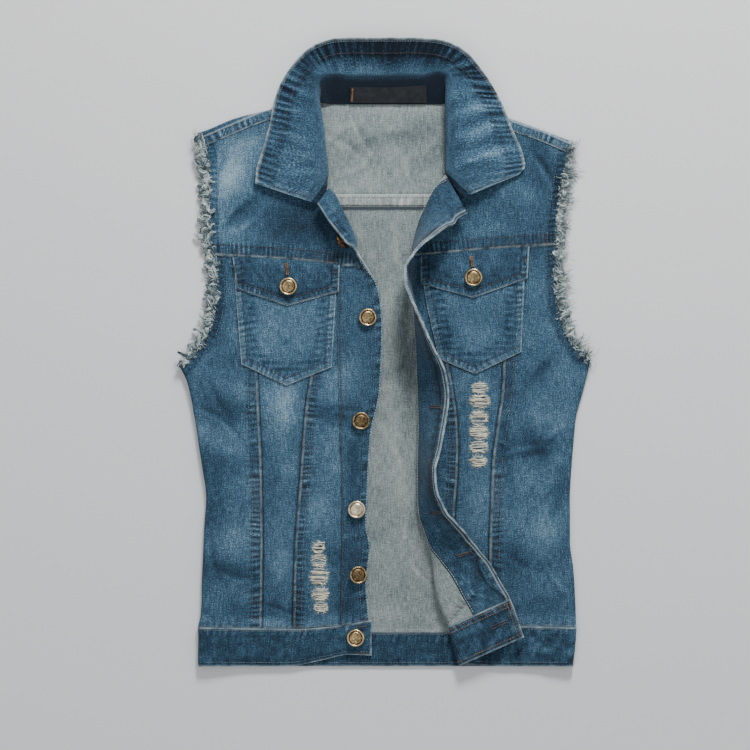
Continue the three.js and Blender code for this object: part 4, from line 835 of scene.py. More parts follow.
def collar_lines(u):
    """Neck seam, turn, crown and outer edge of the collar at a place along it."""
    c = COLLAR_CURVES
    neck = points(c["nx"](u), c["ny"](u), c["nz"](u))
    turn = points(c["rx"](u), c["ry"](u), c["rz"](u))
    edge = points(c["ex"](u), c["ey"](u), c["ez"](u))
    outward = edge - turn
    outward[..., 2] = 0
    turn = turn + outward / np.linalg.norm(outward, axis=-1, keepdims=True) * COLLAR_CLOTH * 0.8
    crown = mix(turn, edge, 0.12)
    crown[..., 2] = turn[..., 2] + np.maximum(0, turn[..., 2] - edge[..., 2]) * 0.22
    return neck, turn, crown, edge


def centripetal(before, start, end, after, t):
    """One span of a centripetal Catmull-Rom curve."""
    def gap(a, b):
        return np.maximum(np.sum(np.square(a - b), -1, keepdims=True) ** 0.25, 1e-4)

    d0, d1, d2 = gap(before, start), gap(start, end), gap(end, after)
    first = ((start - before) / d0 - (end - before) / (d0 + d1) + (end - start) / d1) * d1
    last = ((end - start) / d1 - (after - start) / (d1 + d2) + (after - end) / d2) * d1
    t = t[..., None]
    t2, t3 = t * t, t * t * t
    return ((2 * t3 - 3 * t2 + 1) * start + (t3 - 2 * t2 + t) * first
            + (3 * t2 - 2 * t3) * end + (t3 - t2) * last)


def collar_surface(u, v):
    """The stand for v from 0 to 1, and the fall from 1 to 2."""
    u, v = np.broadcast_arrays(np.asarray(u, float), np.asarray(v, float))
    neck, turn, crown, edge = collar_lines(u)
    place = np.where(v <= 1, v, 1 + (v - 1) * 2)
    t = np.clip(place, 0, 3)
    before, after = 2 * neck - turn, 2 * edge - crown
    spans = (centripetal(before, neck, turn, crown, np.clip(t, 0, 1)),
             centripetal(neck, turn, crown, edge, np.clip(t - 1, 0, 1)),
             centripetal(turn, crown, edge, after, np.clip(t - 2, 0, 1)))
    t = t[..., None]
    point = np.where(t <= 1, spans[0], np.where(t <= 2, spans[1], spans[2]))
    ahead = edge - crown
    ahead = ahead / np.linalg.norm(ahead, axis=-1, keepdims=True)
    point = point + ahead * np.maximum(v - 2, 0)[..., None]
    rise = turn - neck
    rise = rise / np.linalg.norm(rise, axis=-1, keepdims=True)
    point = point + rise * np.minimum(v, 0)[..., None]
    x, y, z = point[..., 0], point[..., 1], point[..., 2]
    over = smooth(84, 92, np.abs(x)) * (v > 1)
    least = front_height(x, y) + DENIM + STACK_GAP + 0.3
    z = np.maximum(z, mix(z, least, over))
    return points(x, y, z), points(COLLAR_ALONG(u), COLLAR_ACROSS(u, v) + 1000, 0)


def collar_measures():
    """How far along the collar and across it a place lies, in mm of cloth, how deep the collar is
    there, and how long it is."""
    u = np.linspace(0, COLLAR_LAST, 241)
    neck, turn, _, edge = collar_lines(u)
    middle = (turn + edge) / 2
    along = np.concatenate([[0], np.cumsum(np.linalg.norm(np.diff(middle, axis=0), axis=1))])
    stand = np.linalg.norm(turn - neck, axis=1)
    fall = np.linalg.norm(edge - turn, axis=1)

    def across(at, v):
        return (np.interp(at, u, stand) * np.minimum(v, 1)
                + np.interp(at, u, fall) * np.maximum(v - 1, 0))

    return lambda at: np.interp(at, u, along), across, lambda at: across(at, 2), along[-1]


COLLAR_ALONG, COLLAR_ACROSS, COLLAR_DEEP, COLLAR_LONG = collar_measures()

# Streaks of the collar's fall, each also raising the cloth where lighter and sinking it where
# darker, so their colour is partly the cloth's fading and partly painted shading of these folds:
# place along it and across it, direction, half sizes, lighter or darker. The places are for a
# collar of this length
COLLAR_FADE_AND_SHADE_LONG = 415
COLLAR_FADE_AND_SHADE = rows("x y angle length width amount",
                   (26, 60, 75, 20, 5, 0.12), (44, 62, 70, 20, 5, 0.1), (60, 66, 78, 16, 4, 0.12),
                   (20, 45, 100, 18, 6, -0.12), (78, 70, 62, 20, 4, 0.12), (96, 72, 58, 22, 4, 0.16),
                   (104, 60, 60, 20, 4, -0.16), (118, 66, 64, 22, 5, 0.1), (126, 50, 75, 20, 5, -0.14),
                   (40, 84, 8, 30, 6, -0.08), (200, 58, 0, 60, 7, 0.12), (240, 60, 0, 50, 6, 0.1),
                   (200, 36, 0, 90, 8, -0.16), (200, 15, 0, 90, 8, 0.05), (170, 60, 90, 14, 5, -0.08),
                   (228, 66, 90, 12, 5, 0.08), (262, 62, 95, 14, 4, -0.1), (286, 72, 118, 22, 4, 0.14),
                   (296, 60, 120, 22, 5, -0.16), (312, 70, 116, 26, 5, 0.12), (324, 56, 118, 26, 4, -0.16),
                   (334, 66, 110, 24, 4, 0.15), (348, 60, 112, 26, 4, -0.14), (358, 66, 108, 24, 4, 0.14),
                   (372, 60, 104, 24, 5, -0.12), (384, 70, 100, 20, 4, 0.12), (392, 60, 95, 20, 4, -0.1))


def collar_look(cloth, u, v):
    along, across = COLLAR_ALONG(u), COLLAR_ACROSS(u, v)
    look = Look(points(along, across, 0), 0.55, 71, 0.3)
    scale = COLLAR_LONG / COLLAR_FADE_AND_SHADE_LONG
    # Painted shading of the fall's folds, with the cloth's fading
    for row in COLLAR_FADE_AND_SHADE:
        a, b = along_and_across(along / scale, across, row)
        a, b = bell(a / row["length"]), bell(b / row["width"])
        look.fade += row["amount"] * a * b
        look.relief += 2.6 * row["amount"] * a * b
    from_edge = COLLAR_DEEP(u) - across
    look.edge(from_edge, along, width=10.5, pitch=7.4, ridge=0.85, light=0.27, seed=73, worn=0.9,
              worn_width=1.0, tone=-0.12)
    deeper = smooth(26, 8, from_edge) * smooth(6, 11, from_edge)
    rays = noise_line(along + 0.3 * from_edge, 4.5, 75)
    # Rays near the edge, raised and lightened together: painted shading of them
    look.relief += 0.45 * deeper * rays
    look.fade += 0.13 * deeper * rays - 0.06 * smooth(0.55, 0.75, along / COLLAR_LONG)
    for ends in (along, COLLAR_LONG - along):
        near = smooth(1.0, 1.4, v)
        short = Look(points(along, across, 0), 0, 77, 0)
        short.edge(ends, across, width=9, pitch=9, ridge=0.3, light=0.08, seed=78, worn=0.5,
                   worn_width=1.2, tone=0.1)
        look.relief += short.relief * near
        look.fade += short.fade * near
        look.pale += short.pale * near
    # Painted shade on the stand, in the shadow of the fall, and on the fall next to its turn at the back
    look.fade -= 0.36 * smooth(1.02, 0.8, v)
    look.fade -= 0.22 * smooth(1.3, 1.0, v) * bell((along / COLLAR_LONG - 0.5) / 0.25)
    # Painted shade along the back of the collar, deepest near its edge
    middle = bell((along / COLLAR_LONG - 0.5) / 0.2)
    look.fade -= 0.3 * middle * smooth(24, 9, from_edge) + 0.16 * middle
    return look


# The pieces of the garment

def front_yoke(name, side):
    """The yoke. The left one also has the strip that turns back, for u from 1 to 2."""
    end = side.front_x(side.yoke_end)
    first_arm = side.armhole_x(side.shoulder_y(side.armhole[1]["x"]))
    low_arm = side.armhole_x(side.yoke_y(side.armhole[4]["x"]))

    def top(u):
        x = mix(first_arm, side.neck_x(NECK_END), u)
        return x, side.shoulder_y(x) - HALF_SEAM

    def bottom(u):
        x = mix(low_arm, end, u)
        return x - (HALF_SEAM * u if side.flat else 0), side.yoke_y(x) + HALF_SEAM

    def armhole(v):
        y = mix(top(0.0)[1], bottom(0.0)[1], v)
        return side.armhole_x(y), y

    share = 0.46
    last_neck = side.neck[-1]["y"]
    start = side.front[0]["seam_y" if side.flat else "y"]

    def inner(v):
        t = (np.asarray(v, float) - share) / (1 - share)
        y = np.where(t < 0, mix(top(1.0)[1], last_neck, v / share), mix(start, bottom(1.0)[1], t))
        edge = side.seam_by_height(y) - HALF_SEAM if side.flat else side.turn_x(y)
        return np.where(t < 0, side.neck_x(y), edge), y

    plan = coons(top, bottom, armhole, inner)

    def surface(u, v):
        flat = flat_point(*plan(np.minimum(u, 1), v))
        if side.flat:
            return flat
        y = inner(v)[1]
        s = mix(side.width(y), PLACKET + HALF_SEAM, np.maximum(u - 1, 0))
        return choose(np.asarray(u) <= 1, flat, front_strip(side, y, s))

    def look(cloth, u, v):
        look = front_look(side, cloth, 0.53)
        d = LINES[side]["shoulder"].near(cloth, 20)[1]
        # Painted shade along the shoulder seam line
        look.fade -= 0.14 * bell(d / 1.6)
        return look

    columns = fine((0, 1, 104)) if side.flat else fine((0, 1, 110), (1, 2, 8))
    return Piece(name, surface, columns, fine((0, share, 34), (share, 1, 42)), DENIM, side.out, look,
                 active=lambda u, v: (u < 0.999) | (v > share - 0.001))


def side_panel(name, side):
    """The side front, with its roll round the side edge and its lap under the back."""
    def seam(y):
        return side.outer_x(y) + side.out * HALF_SEAM

    seam_top = side.yoke_y(side.outer_x(NEAR_YOKE)) - HALF_SEAM
    arm_top = side.yoke_y(side.armhole[4]["x"]) - HALF_SEAM

    def outer_edge(y):
        return np.where(y > side.armhole_end, side.armhole_x(y), side_roll_x(side, y, DENIM))

    last = side.band_y(outer_edge(NEAR_BAND)) + HALF_SEAM

    def outer(v):
        y = np.where(v < 1, mix(arm_top, side.armhole_end, v), mix(side.armhole_end, last, v - 1))
        return outer_edge(y), y

    def inner(v):
        y = mix(seam_top, side.band_y(seam(NEAR_BAND)) + HALF_SEAM, v / 2)
        return seam(y), y

    def top(u):
        x = mix(seam(seam_top), outer(0.0)[0], u)
        return x, side.yoke_y(x) - HALF_SEAM

    def bottom(u):
        x = mix(seam(NEAR_BAND), outer(2.0)[0], u)
        return x, side.band_y(x) + HALF_SEAM

    plan = coons(top, bottom, lambda t: inner(2 * t), lambda t: outer(2 * t))

    def surface(u, v):
        flat = flat_point(*plan(np.minimum(u, 1), np.asarray(v) / 2))
        return choose(np.asarray(u) <= 1, flat, side_roll(side, outer(v)[1], u, DENIM))

    def look(cloth, u, v):
        look = front_look(side, cloth)
        look.relief = look.relief * (1 - 0.95 * smooth(1.55, 1.8, u))
        # Painted shade on the side of the roll round the side edge
        look.fade -= 0.08 * bell((u - 1.35) / 0.2)
        return look

    return Piece(name, surface, fine((0, 1, 34), (1, 2, 8), (2, 3, 2)), fine((0, 1, 68), (1, 2, 150)),
                 DENIM, -side.out, look, active=lambda u, v: (u < 0.999) | (v > 0.999))


def mid_panel(name, side):
    """The middle front, which narrows towards the band."""
    def first_x(y):
        return side.inner_x(y) + side.out * HALF_SEAM

    def second_x(y):
        return side.outer_x(y) - side.out * HALF_SEAM

    def line(height, shift, start, end):
        return lambda u: (mix(start, end, u), height(mix(start, end, u)) + shift)

    top = line(side.yoke_y, -HALF_SEAM, first_x(side.yoke_y(side.inner_x(NEAR_YOKE))),
               second_x(NEAR_YOKE))
    bottom = line(side.band_y, HALF_SEAM, first_x(NEAR_BAND), second_x(NEAR_BAND))

    def edge(x_at, end):
        def place(v):
            y = mix(top(end)[1], bottom(end)[1], v)
            return x_at(y), y

        return place

    plan = coons(top, bottom, edge(first_x, 0.0), edge(second_x, 1.0))
    return Piece(name, lambda u, v: flat_point(*plan(u, v)), fine((0, 1, 34)), fine((0, 1, 205)),
                 DENIM, -side.out, lambda cloth, u, v: front_look(side, cloth))


def centre_panel(name, side):
    """The centre front. The left one has its turned strip for u from -1 to 0."""
    top_y = side.yoke_y(side.front_x(side.yoke_end)) - HALF_SEAM
    bottom_y = side.band_y(side.front_x(side.band_end)) if side.flat else side.band_end
    bottom_y = bottom_y + HALF_SEAM

    def seam(y):
        return side.inner_x(y) - side.out * HALF_SEAM

    def first(v):
        y = mix(top_y, bottom_y, v)
        return side.front_x(y) - (HALF_SEAM if side.flat else 0), y

    def second(v):
        y = mix(side.yoke_y(side.inner_x(NEAR_YOKE)) - HALF_SEAM,
                side.band_y(seam(NEAR_BAND)) + HALF_SEAM, v)
        return seam(y), y

    def top(u):
        x = mix(first(0.0)[0], second(0.0)[0], u)
        return x, side.yoke_y(x) - HALF_SEAM

    def bottom(u):
        return mix(first(1.0)[0], second(1.0)[0], u), mix(first(1.0)[1], second(1.0)[1], u)

    plan = coons(top, bottom, first, second)

    def surface(u, v):
        flat = flat_point(*plan(np.maximum(u, 0), v))
        if side.flat:
            return flat
        y = first(v)[1]
        s = mix(side.width(y), PLACKET + HALF_SEAM, np.maximum(-u, 0))
        return choose(np.asarray(u) >= 0, flat, front_strip(side, y, s))

    columns = fine((0, 1, 26)) if side.flat else fine((-1, 0, 14), (0, 1, 22))
    return Piece(name, surface, columns, fine((0, 1, 205)), DENIM, -side.out,
                 lambda cloth, u, v: front_look(side, cloth))


def placket(name, side):
    """The doubled strip along the front edge."""
    last = side.front[-1]["y"] if side.flat else side.front[-2]["y"]
    first = side.front[0]["y"]
    reach = PLACKET - (HALF_SEAM if side.flat else BENT_SEAM)

    def surface(u, v):
        place, cloth = front_strip(side, mix(first, last, v), np.asarray(u) * reach)
        if side.flat:
            drop = (side.band_y(place[..., 0]) + HALF_SEAM - last) * smooth(0.9, 1, v)
        else:
            drop = HALF_SEAM * v
        place[..., 1] += drop
        cloth[..., 1] += drop
        return place, cloth

    def look(cloth, u, v):
        look = front_look(side, cloth, 0.46)
        s, y = np.asarray(u) * reach, mix(first, last, v)
        look.edge(s, y, width=9, pitch=11, ridge=0.4, light=0.2, seed=51, worn=0.9, worn_width=0.8,
                  tone=-0.04)
        if not side.flat:
            worn = noise_plane(s, y, 7, 55) + 0.6 * noise_plane(s, y, 3.2, 56)
            look.fade += (0.13 * worn * smooth(10, 16, s) * smooth(200, 90, y)
                          - 0.05 * smooth(8, 14, s))
            look.fade -= 0.3 * bell((s - 2.1) / 0.8)
            look.pale += 0.5 * bell((s - 3.9) / 0.5)
        look.seam(Line([(0, 0), (0, 700)]), -1, width=6, pitch=9, ridge=0.12, rise=0.0, light=0.06,
                  seed=53, worn=0.0)
        stitched = bell((s - 43.5) / 1.0)
        # Painted shade in the groove of the row by the seam, with the brown stain of its thread
        look.fade -= 0.1 * stitched
        look.relief -= 0.2 * stitched
        look.brown += 0.5 * stitched
        return look

    return Piece(name, surface, fine((0, 1, 24)), fine((0, 1, 215)), DOUBLE, -side.out, look,
                 inside="denim_out")


def front_band(name, side):
    """Half the waistband, with its roll round the side edge, and on the left its turned end."""
    turned = not side.flat
    start, tall, turned_long = -16.0, 42.0, 88

    def top_at(x):
        return side.band_y(x) - HALF_SEAM

    side_top = top_at(side.edge_x(40))

    def outer(v):
        y = mix(side_top, 0, v)
        return side_roll_x(side, y, BAND), y

    def first(v):
        if not turned:
            return np.full(np.shape(v), start), mix(top_at(start), side.hem_y(start), v)
        y = mix(side.band_end - HALF_SEAM, TURNED_HEM, v)
        return side.turn_x(y), y

    def top(u):
        x = mix(first(0.0)[0], outer(0.0)[0], u)
        return x, top_at(x)

    def bottom(u):
        x = mix(first(1.0)[0], outer(1.0)[0], u)
        if turned:
            return x, mix(first(1.0)[1], 0, np.minimum(1, u * 3))
        return x, side.hem_y(x)

    plan = coons(top, bottom, first, outer)

    def surface(u, v):
        u, v = np.broadcast_arrays(np.asarray(u, float), np.asarray(v, float))
        band = choose(u > 1, side_roll(side, outer(v)[1], u, BAND),
                      flat_point(*plan(np.clip(u, 0, 1), v)))
        if not turned:
            return band
        y = first(v)[1]
        return choose(u < 0, front_strip(side, y, side.width(y) * (1 + np.minimum(u, 0))), band)

    def look(cloth, u, v):
        look = Look(cloth, 0.34, 61, 0.25)
        x, y = cloth[..., 0], cloth[..., 1]
        worn = noise_plane(x * 0.8, y, 6, 67) + 0.6 * noise_plane(x, y * 0.5, 3, 68)
        # The same noise lifts the cloth and lightens it: abrasion on the raised wrinkles and painted
        # shading of them
        look.fade += (0.15 if turned else 0.07) * worn
        look.relief += (0.4 if turned else 0.2) * worn
        u, v = np.broadcast_arrays(np.asarray(u, float), np.asarray(v, float))
        look.edge(v * tall, x, width=8, pitch=8.5, ridge=0.42, light=0.16, seed=62, worn=0.95,
                  worn_width=1.1, tone=0.04)
        look.edge((1 - v) * tall, x + 40, width=7, pitch=9, ridge=0.3, light=0.09, seed=64,
                  worn=0.6, worn_width=0.9)
        from_end = (u + 1) * turned_long if turned else np.abs(x - start)
        look.edge(from_end, y, width=5, pitch=9, ridge=0.2, light=0.08, seed=66, worn=0.85,
                  worn_width=1.1, tone=0.05)
        look.relief = look.relief * (1 - 0.95 * smooth(1.5, 1.75, u))
        return look

    flat = ((-1, 0, 40), (0, 1, 66)) if turned else ((0, 1, 88),)
    columns = fine(*flat, (1, 2, 8), (2, 3, 2))
    return Piece(name, surface, columns, fine((0, 1, 20)), BAND, -side.out, look, inside="denim_out")


def patch(name, shape, top_at, lift_at, count, look_of):
    """A piece sewn flat on a front: straight sides, a pointed lower edge, lifted off the cloth."""
    first_x = through(shape["left"], "y", "x")
    second_x = through(shape["right"], "y", "x")
    low_y = (shape["left"][-1]["y"], shape["right"][-1]["y"])
    start, end = shape["left"][0]["x"], shape["right"][0]["x"]
    high_y = (top_at(start), top_at(end))
    px, py = shape["point"]

    def first(v):
        y = mix(high_y[0], low_y[0], v)
        return first_x(y), y

    def second(v):
        y = mix(high_y[1], low_y[1], v)
        return second_x(y), y

    def top(u):
        return mix(first(0.0)[0], second(0.0)[0], u), top_at(mix(start, end, u))

    def bottom(u):
        u = np.asarray(u, float)
        a, b = first(1.0), second(1.0)
        x = np.where(u < 0.5, mix(a[0], px, u * 2), mix(px, b[0], u * 2 - 1))
        return x, np.where(u < 0.5, mix(a[1], py, u * 2), mix(py, b[1], u * 2 - 1))

    plan = coons(top, bottom, first, second)
    outline = Line(walk(first, (0, 1, 24)) + walk(bottom, (0, 1, 40)) + walk(second, (1, 0, 24)))

    def surface(u, v):
        x, y = plan(u, v)
        place, cloth = flat_point(x, y)
        return place + front_normal(x, y) * np.asarray(lift_at(y))[..., None], cloth

    piece = Piece(name, surface, fine((0, 1, 56)), fine((0, 1, count)), DENIM, -1,
                  lambda cloth, u, v: look_of(cloth, outline))
    piece.outline = outline
    return piece


def sewn_look(side, tone, seed, darker):
    """Look of a pocket or flap: its outline puckered and worn, dark and ropy beside the rows."""
    def look_of(cloth, outline):
        under = front_look(side, cloth, tone)
        look = Look(cloth, tone, seed, 0.25)
        x, y = cloth[..., 0], cloth[..., 1]
        look.relief += 0.6 * (under.relief - under.relief.mean())
        s, d = outline.near(cloth, 30)
        d = np.abs(d)
        look.edge(d, s, width=8.5, pitch=6.2, ridge=0.45, light=0.2, seed=seed + 1, worn=0.75,
                  worn_width=1.0, tone=0.02)
        inner = smooth(8, 12, d) * smooth(24, 17, d)
        ropy = np.sin(2 * np.pi * y / 7.5 + 2 * noise_plane(x, y, 16, seed + 4))
        mottle = noise_plane(x, y, 5, seed + 5)
        look.fade += darker * inner * (-0.1 + 0.1 * ropy + 0.08 * mottle)
        look.relief += darker * inner * 0.3 * ropy
        look.fade += 0.05 * smooth(20, 40, d)
        streaks = noise_plane(x + 0.7 * y, y * 0.4, 5, seed + 6)
        # The streaks lift the cloth and lighten it together: abrasion on the raised creases and painted
        # shading of them
        look.fade += (1.1 - darker) * 0.12 * streaks
        look.relief += (1.1 - darker) * 0.25 * streaks
        # Painted shade in the groove of the inner row
        look.fade -= 0.12 * bell((d - 8.5) / 1.2)
        return look

    return look_of


def pocket_and_flap(side_name, side):
    on_panel = DENIM + STACK_GAP
    on_pocket = on_panel + DENIM + STACK_GAP
    mouth = side.pocket["left"][0]["y"]
    left, right = side.pocket["left"][0], side.pocket["right"][0]
    pocket = patch(f"{side_name}_pocket", side.pocket,
                   lambda x: mix(mouth, right["y"], (x - left["x"]) / (right["x"] - left["x"])),
                   lambda y: np.full(np.shape(y), on_panel), 56,
                   sewn_look(side, 0.57 if side is RIGHT else 0.5, 81, 1.0))
    flap = patch(f"{side_name}_pocket_flap", side.flap, lambda x: side.yoke_y(x) - 1.2,
                 lambda y: mix(on_panel, on_pocket, smooth(mouth + 21, mouth + 9, y)), 26,
                 sewn_look(side, 0.36 if side is RIGHT else 0.4, 91, 0.35))
    return pocket, flap


def back_edge(side, y):
    """Where the back's cut end lies: at the armhole, or inside the side roll."""
    under = underlap(side, y) + 1.8 * SEAM + band_raise(y) * 1.3
    return np.where(y > side.armhole_end, side.armhole_x(y),
                    side_roll_x(side, y, DENIM) - side.out * under)


def back_point(x, y, thickness):
    return points(x, y, thickness), points(x, y, 0)


BACK_CREASES = rows("x y angle length width height bow",
                    (-58, 600, 40, 22, 2.6, 0.9, 3), (-48, 588, 150, 26, 3, 0.8, -4),
                    (-30, 596, 120, 24, 2.6, 0.8, 3), (-20, 575, 60, 20, 2.4, 0.6, 2),
                    (-38, 560, 20, 26, 3.2, 0.6, -3), (6, 606, 10, 30, 3, 0.5, 3),
                    (24, 560, 100, 22, 3, 0.5, 3), (12, 470, 95, 36, 3.4, 0.6, 4),
                    (30, 400, 88, 50, 3.4, 0.8, -3), (16, 350, 70, 30, 3, 0.6, 3),
                    (34, 300, 95, 40, 3.2, 0.6, 2), (12, 240, 110, 30, 3, 0.6, -3),
                    (22, 160, 80, 34, 3, 0.6, 3), (40, 100, 130, 26, 3, 0.7, 3))
# Lighter and darker places of the back's inner face: partly the cloth's own fading, and partly painted
# shading of its creases and painted shadow beside the turned front edges
BACK_FADE_AND_SHADE = rows("x y angle length width amount",
                 (-40, 540, 20, 60, 14, 0.1), (20, 600, 15, 70, 10, -0.16),
                 (60, 585, 40, 40, 8, -0.12), (-45, 612, 5, 30, 9, 0.12), (0, 420, 80, 80, 16, 0.08),
                 (22, 380, 90, 60, 9, -0.22), (28, 300, 85, 60, 9, -0.1), (10, 250, 95, 40, 10, 0.08),
                 (5, 330, 30, 24, 7, -0.14), (18, 200, 80, 60, 14, 0.1), (-8, 150, 40, 30, 8, -0.1),
                 (40, 120, 120, 30, 8, 0.12), (20, 90, 20, 26, 9, -0.08), (0, 60, 0, 40, 8, 0.1))


def back_look(cloth, u, v):
    x, y = cloth[..., 0], cloth[..., 1]
    look = Look(cloth, 0.47, 101, 0.1)
    look.creases(BACK_CREASES)
    look.patches(BACK_FADE_AND_SHADE)
    look.seam(BACK_LINES["yoke"], 1, width=11, pitch=4, ridge=0.24, rise=0.3, light=0.22, seed=102,
              worn=0.0, tone=0.2)
    from_seam = y - BACK_YOKE_SEAM
    # Painted shadows just below the yoke seam and just above the top edge of its band
    look.fade -= 0.75 * bell((from_seam + 2) / 1.8) + 0.2 * bell((from_seam - 14.5) / 1.2)
    look.pale += 1.7 * bell((from_seam - 12.6) / 1.2)
    look.brown += 0.7 * bell((from_seam - 1.4) / 0.8)
    for name in ("right", "left"):
        look.seam(BACK_LINES[name], 1, width=8, pitch=7, ridge=0.12, rise=0.2, light=0.08, seed=103,
                  worn=0.45, tone=0.03)
    look.pale += 0.25 * bell((y - BAND_TOP_BACK - 3) / 1.2) * (0.6 + 0.4 * noise_line(x, 2, 9))
    look.fade += 0.09 * smooth(612, 640, y)
    return lying(look)


def lying(look):
    """The same look for cloth that lies on the floor: its relief only lifts it."""
    look.relief = -np.clip(0.3 + 0.5 * look.relief, 0, 0.9)
    return look


def back_centre():
    bottom = BAND_TOP_BACK + HALF_SEAM

    def surface(u, v):
        y = mix(BACK_TOP, bottom, v)
        return back_point((BACK_X(y) - HALF_SEAM) * (2 * u - 1), y, DENIM)

    return Piece("back_centre", surface, fine((0, 1, 46)), fine((0, 0.02, 8), (0.02, 1, 160)), DENIM, 1,
                 back_look, slot="denim_back")


def back_side(name, side):
    bottom = BAND_TOP_BACK + HALF_SEAM

    def surface(u, v):
        y = np.where(v < 1, mix(BACK_TOP, side.armhole_end + 1, v),
                     mix(side.armhole_end, bottom, v - 1))
        return back_point(mix(side.out * (BACK_X(y) + HALF_SEAM), back_edge(side, y), u), y, DENIM)

    return Piece(name, surface, fine((0, 1, 36)), fine((0, 0.99, 50), (0.99, 2, 90)), DENIM, side.out,
                 back_look, slot="denim_back")


def back_band():
    def surface(u, v):
        y = mix(BAND_TOP_BACK - HALF_SEAM, 0, v)
        ends = [side_roll_x(side, y, BAND) - side.out * (underlap(side, y) + SEAM)
                for side in (RIGHT, LEFT)]
        return back_point(mix(ends[0], ends[1], u), y, BAND)

    def look(cloth, u, v):
        look = Look(cloth, 0.33, 111, 0.15)
        x, down = cloth[..., 0], np.asarray(v) * BAND_TOP_BACK
        look.fade += 0.08 * noise_plane(x, cloth[..., 1], 6, 114)
        look.edge(down, x, width=11, pitch=7.5, ridge=0.3, light=0.26, seed=112, worn=0.35)
        look.edge((1 - np.asarray(v)) * BAND_TOP_BACK, x, width=7, pitch=8, ridge=0.25, light=0.1,
                  seed=113, worn=0.5)
        return lying(look)

    return Piece("waistband_back", surface, fine((0, 1, 150)), fine((0, 1, 18)), BAND, 1, look,
                 inside="denim_out", slot="denim_back")


def back_yoke():
    """The back yoke for v from 0 to 1, its rolls over the shoulders to 2, and on to the front
    yokes to 3. It has three zones of u: right shoulder, neck and left shoulder."""
    radius = roll_radius(BACK_YOKE_SEAM, DENIM)
    reach = radius + DENIM

    def shoulder(side, x):
        """The fold's outward direction in plan, and the middle of its roll."""
        slope = (side.fold_y(x + 1) - side.fold_y(x - 1)) / 2
        length = np.hypot(1, slope)
        nx, ny = -slope / length, 1 / length
        return nx, ny, x - nx * reach, side.fold_y(x) - ny * reach

    def under_neck(x, v):
        rise = smooth(70, NECK_HALF, np.abs(x))
        ends = [shoulder(side, side.out * NECK_HALF) for side in (RIGHT, LEFT)]
        end_x = np.where(x < 0, ends[0][2], ends[1][2])
        end_y = np.where(x < 0, ends[0][3], ends[1][3])
        top_x, top_y = mix(x, end_x, rise), mix(NECK_SEAM, end_y, rise)
        return back_point(mix(x, top_x, v), mix(BACK_YOKE_SEAM + HALF_SEAM, top_y, v), DENIM)

    def under_shoulder(side, x, share, v):
        cx, cy = shoulder(side, x)[2:]
        y = mix(BACK_YOKE_SEAM + HALF_SEAM, cy, v)
        neck = side.out * NECK_HALF
        short = cx - mix(side.armhole_x(cy), neck, share)
        return back_point(mix(side.armhole_x(y), neck, share) + short * v ** 3, y, DENIM)

    def over(side, x, v):
        """The roll over the shoulder, for v from 1 to 2, and the cloth on to the seam."""
        nx, ny, cx, cy = shoulder(side, x)
        angle = np.pi * (np.clip(v, 1, 2) - 1)
        out = radius * np.sin(angle)
        rx, ry = cx + nx * out, cy + ny * out
        t = np.maximum(v - 2, 0)
        seam_x = side.out * np.minimum(np.abs(x), np.abs(side.armhole_x(side.shoulder_y(x))))
        px, py = mix(cx, seam_x, t), mix(cy, side.shoulder_y(seam_x) + HALF_SEAM, t)
        rolled = points(rx, ry, DENIM + radius * (1 - np.cos(angle))), points(rx, ry, 0)
        return choose(v <= 2, rolled, flat_point(px, py))

    tips = {side: side.shoulder_tip["x"] - 5 * side.out for side in (RIGHT, LEFT)}

    def surface(u, v):
        u, v = np.broadcast_arrays(np.asarray(u, float), np.asarray(v, float))
        zone = np.clip(np.floor(u), 0, 2)
        t = u - zone
        share = np.where(zone == 0, t, 1 - t)
        x = np.where(zone == 0, mix(tips[RIGHT], -NECK_HALF, t),
                     np.where(zone == 1, mix(-NECK_HALF, NECK_HALF, t), mix(NECK_HALF, tips[LEFT], t)))
        low = np.minimum(v, 1)
        yoke = under_neck(x, low)
        for index, side in ((0, RIGHT), (2, LEFT)):
            yoke = choose(zone == index, under_shoulder(side, x, share, low), yoke)
            yoke = choose((x * side.out > 0) & (v > 1), over(side, x, v), yoke)
        return yoke

    def look(cloth, u, v):
        under = back_look(cloth, u, v)
        front = Look(cloth, 0.55, 121, 0.12)
        for side in (RIGHT, LEFT):
            front.seam(LINES[side]["shoulder"], 1, width=10.5, pitch=6.2, ridge=0.45, rise=0.5,
                       light=0.26, seed=122, worn=1.0, tone=0.0)
            d = LINES[side]["shoulder"].near(cloth, 24)[1]
            front.pale += 0.45 * bell((d - 10.2) / 0.9)
            # Painted shadow just beyond the worn edge of the shoulder band
            front.fade -= 0.22 * bell((d - 12.2) / 1.3)
        front.relief = mix(under.relief * smooth(1.1, 0.98, v), front.relief, smooth(1.9, 2.1, v))
        share = smooth(1.2, 1.6, v)
        for name in ("fade", "pale", "brown"):
            setattr(front, name, mix(getattr(under, name), getattr(front, name), share))
        return front

    return Piece("back_yoke", surface, fine((0, 1, 66), (1, 2, 62), (2, 3, 66)),
                 fine((0, 0.14, 22), (0.14, 1, 28), (1, 2, 8), (2, 3, 15)), DENIM, -1, look,
                 active=lambda u, v: (v < 0.999) | (u < 0.999) | (u > 1.999), slot="denim_back")


def neck_label():
    def surface(u, v):
        return collar_surface(mix(10.15, 14.12, u), mix(0.06, 0.62, v))

    return Piece("neck_label", surface, fine((0, 1, 60)), fine((0, 1, 16)), LABEL_CLOTH, 1,
                 lambda cloth, u, v: Look(cloth, 0.1, 131, 0.12), lift=COLLAR_CLOTH + STACK_GAP,
                 outside="label", inside="label", slot="label_cloth")


# Materials

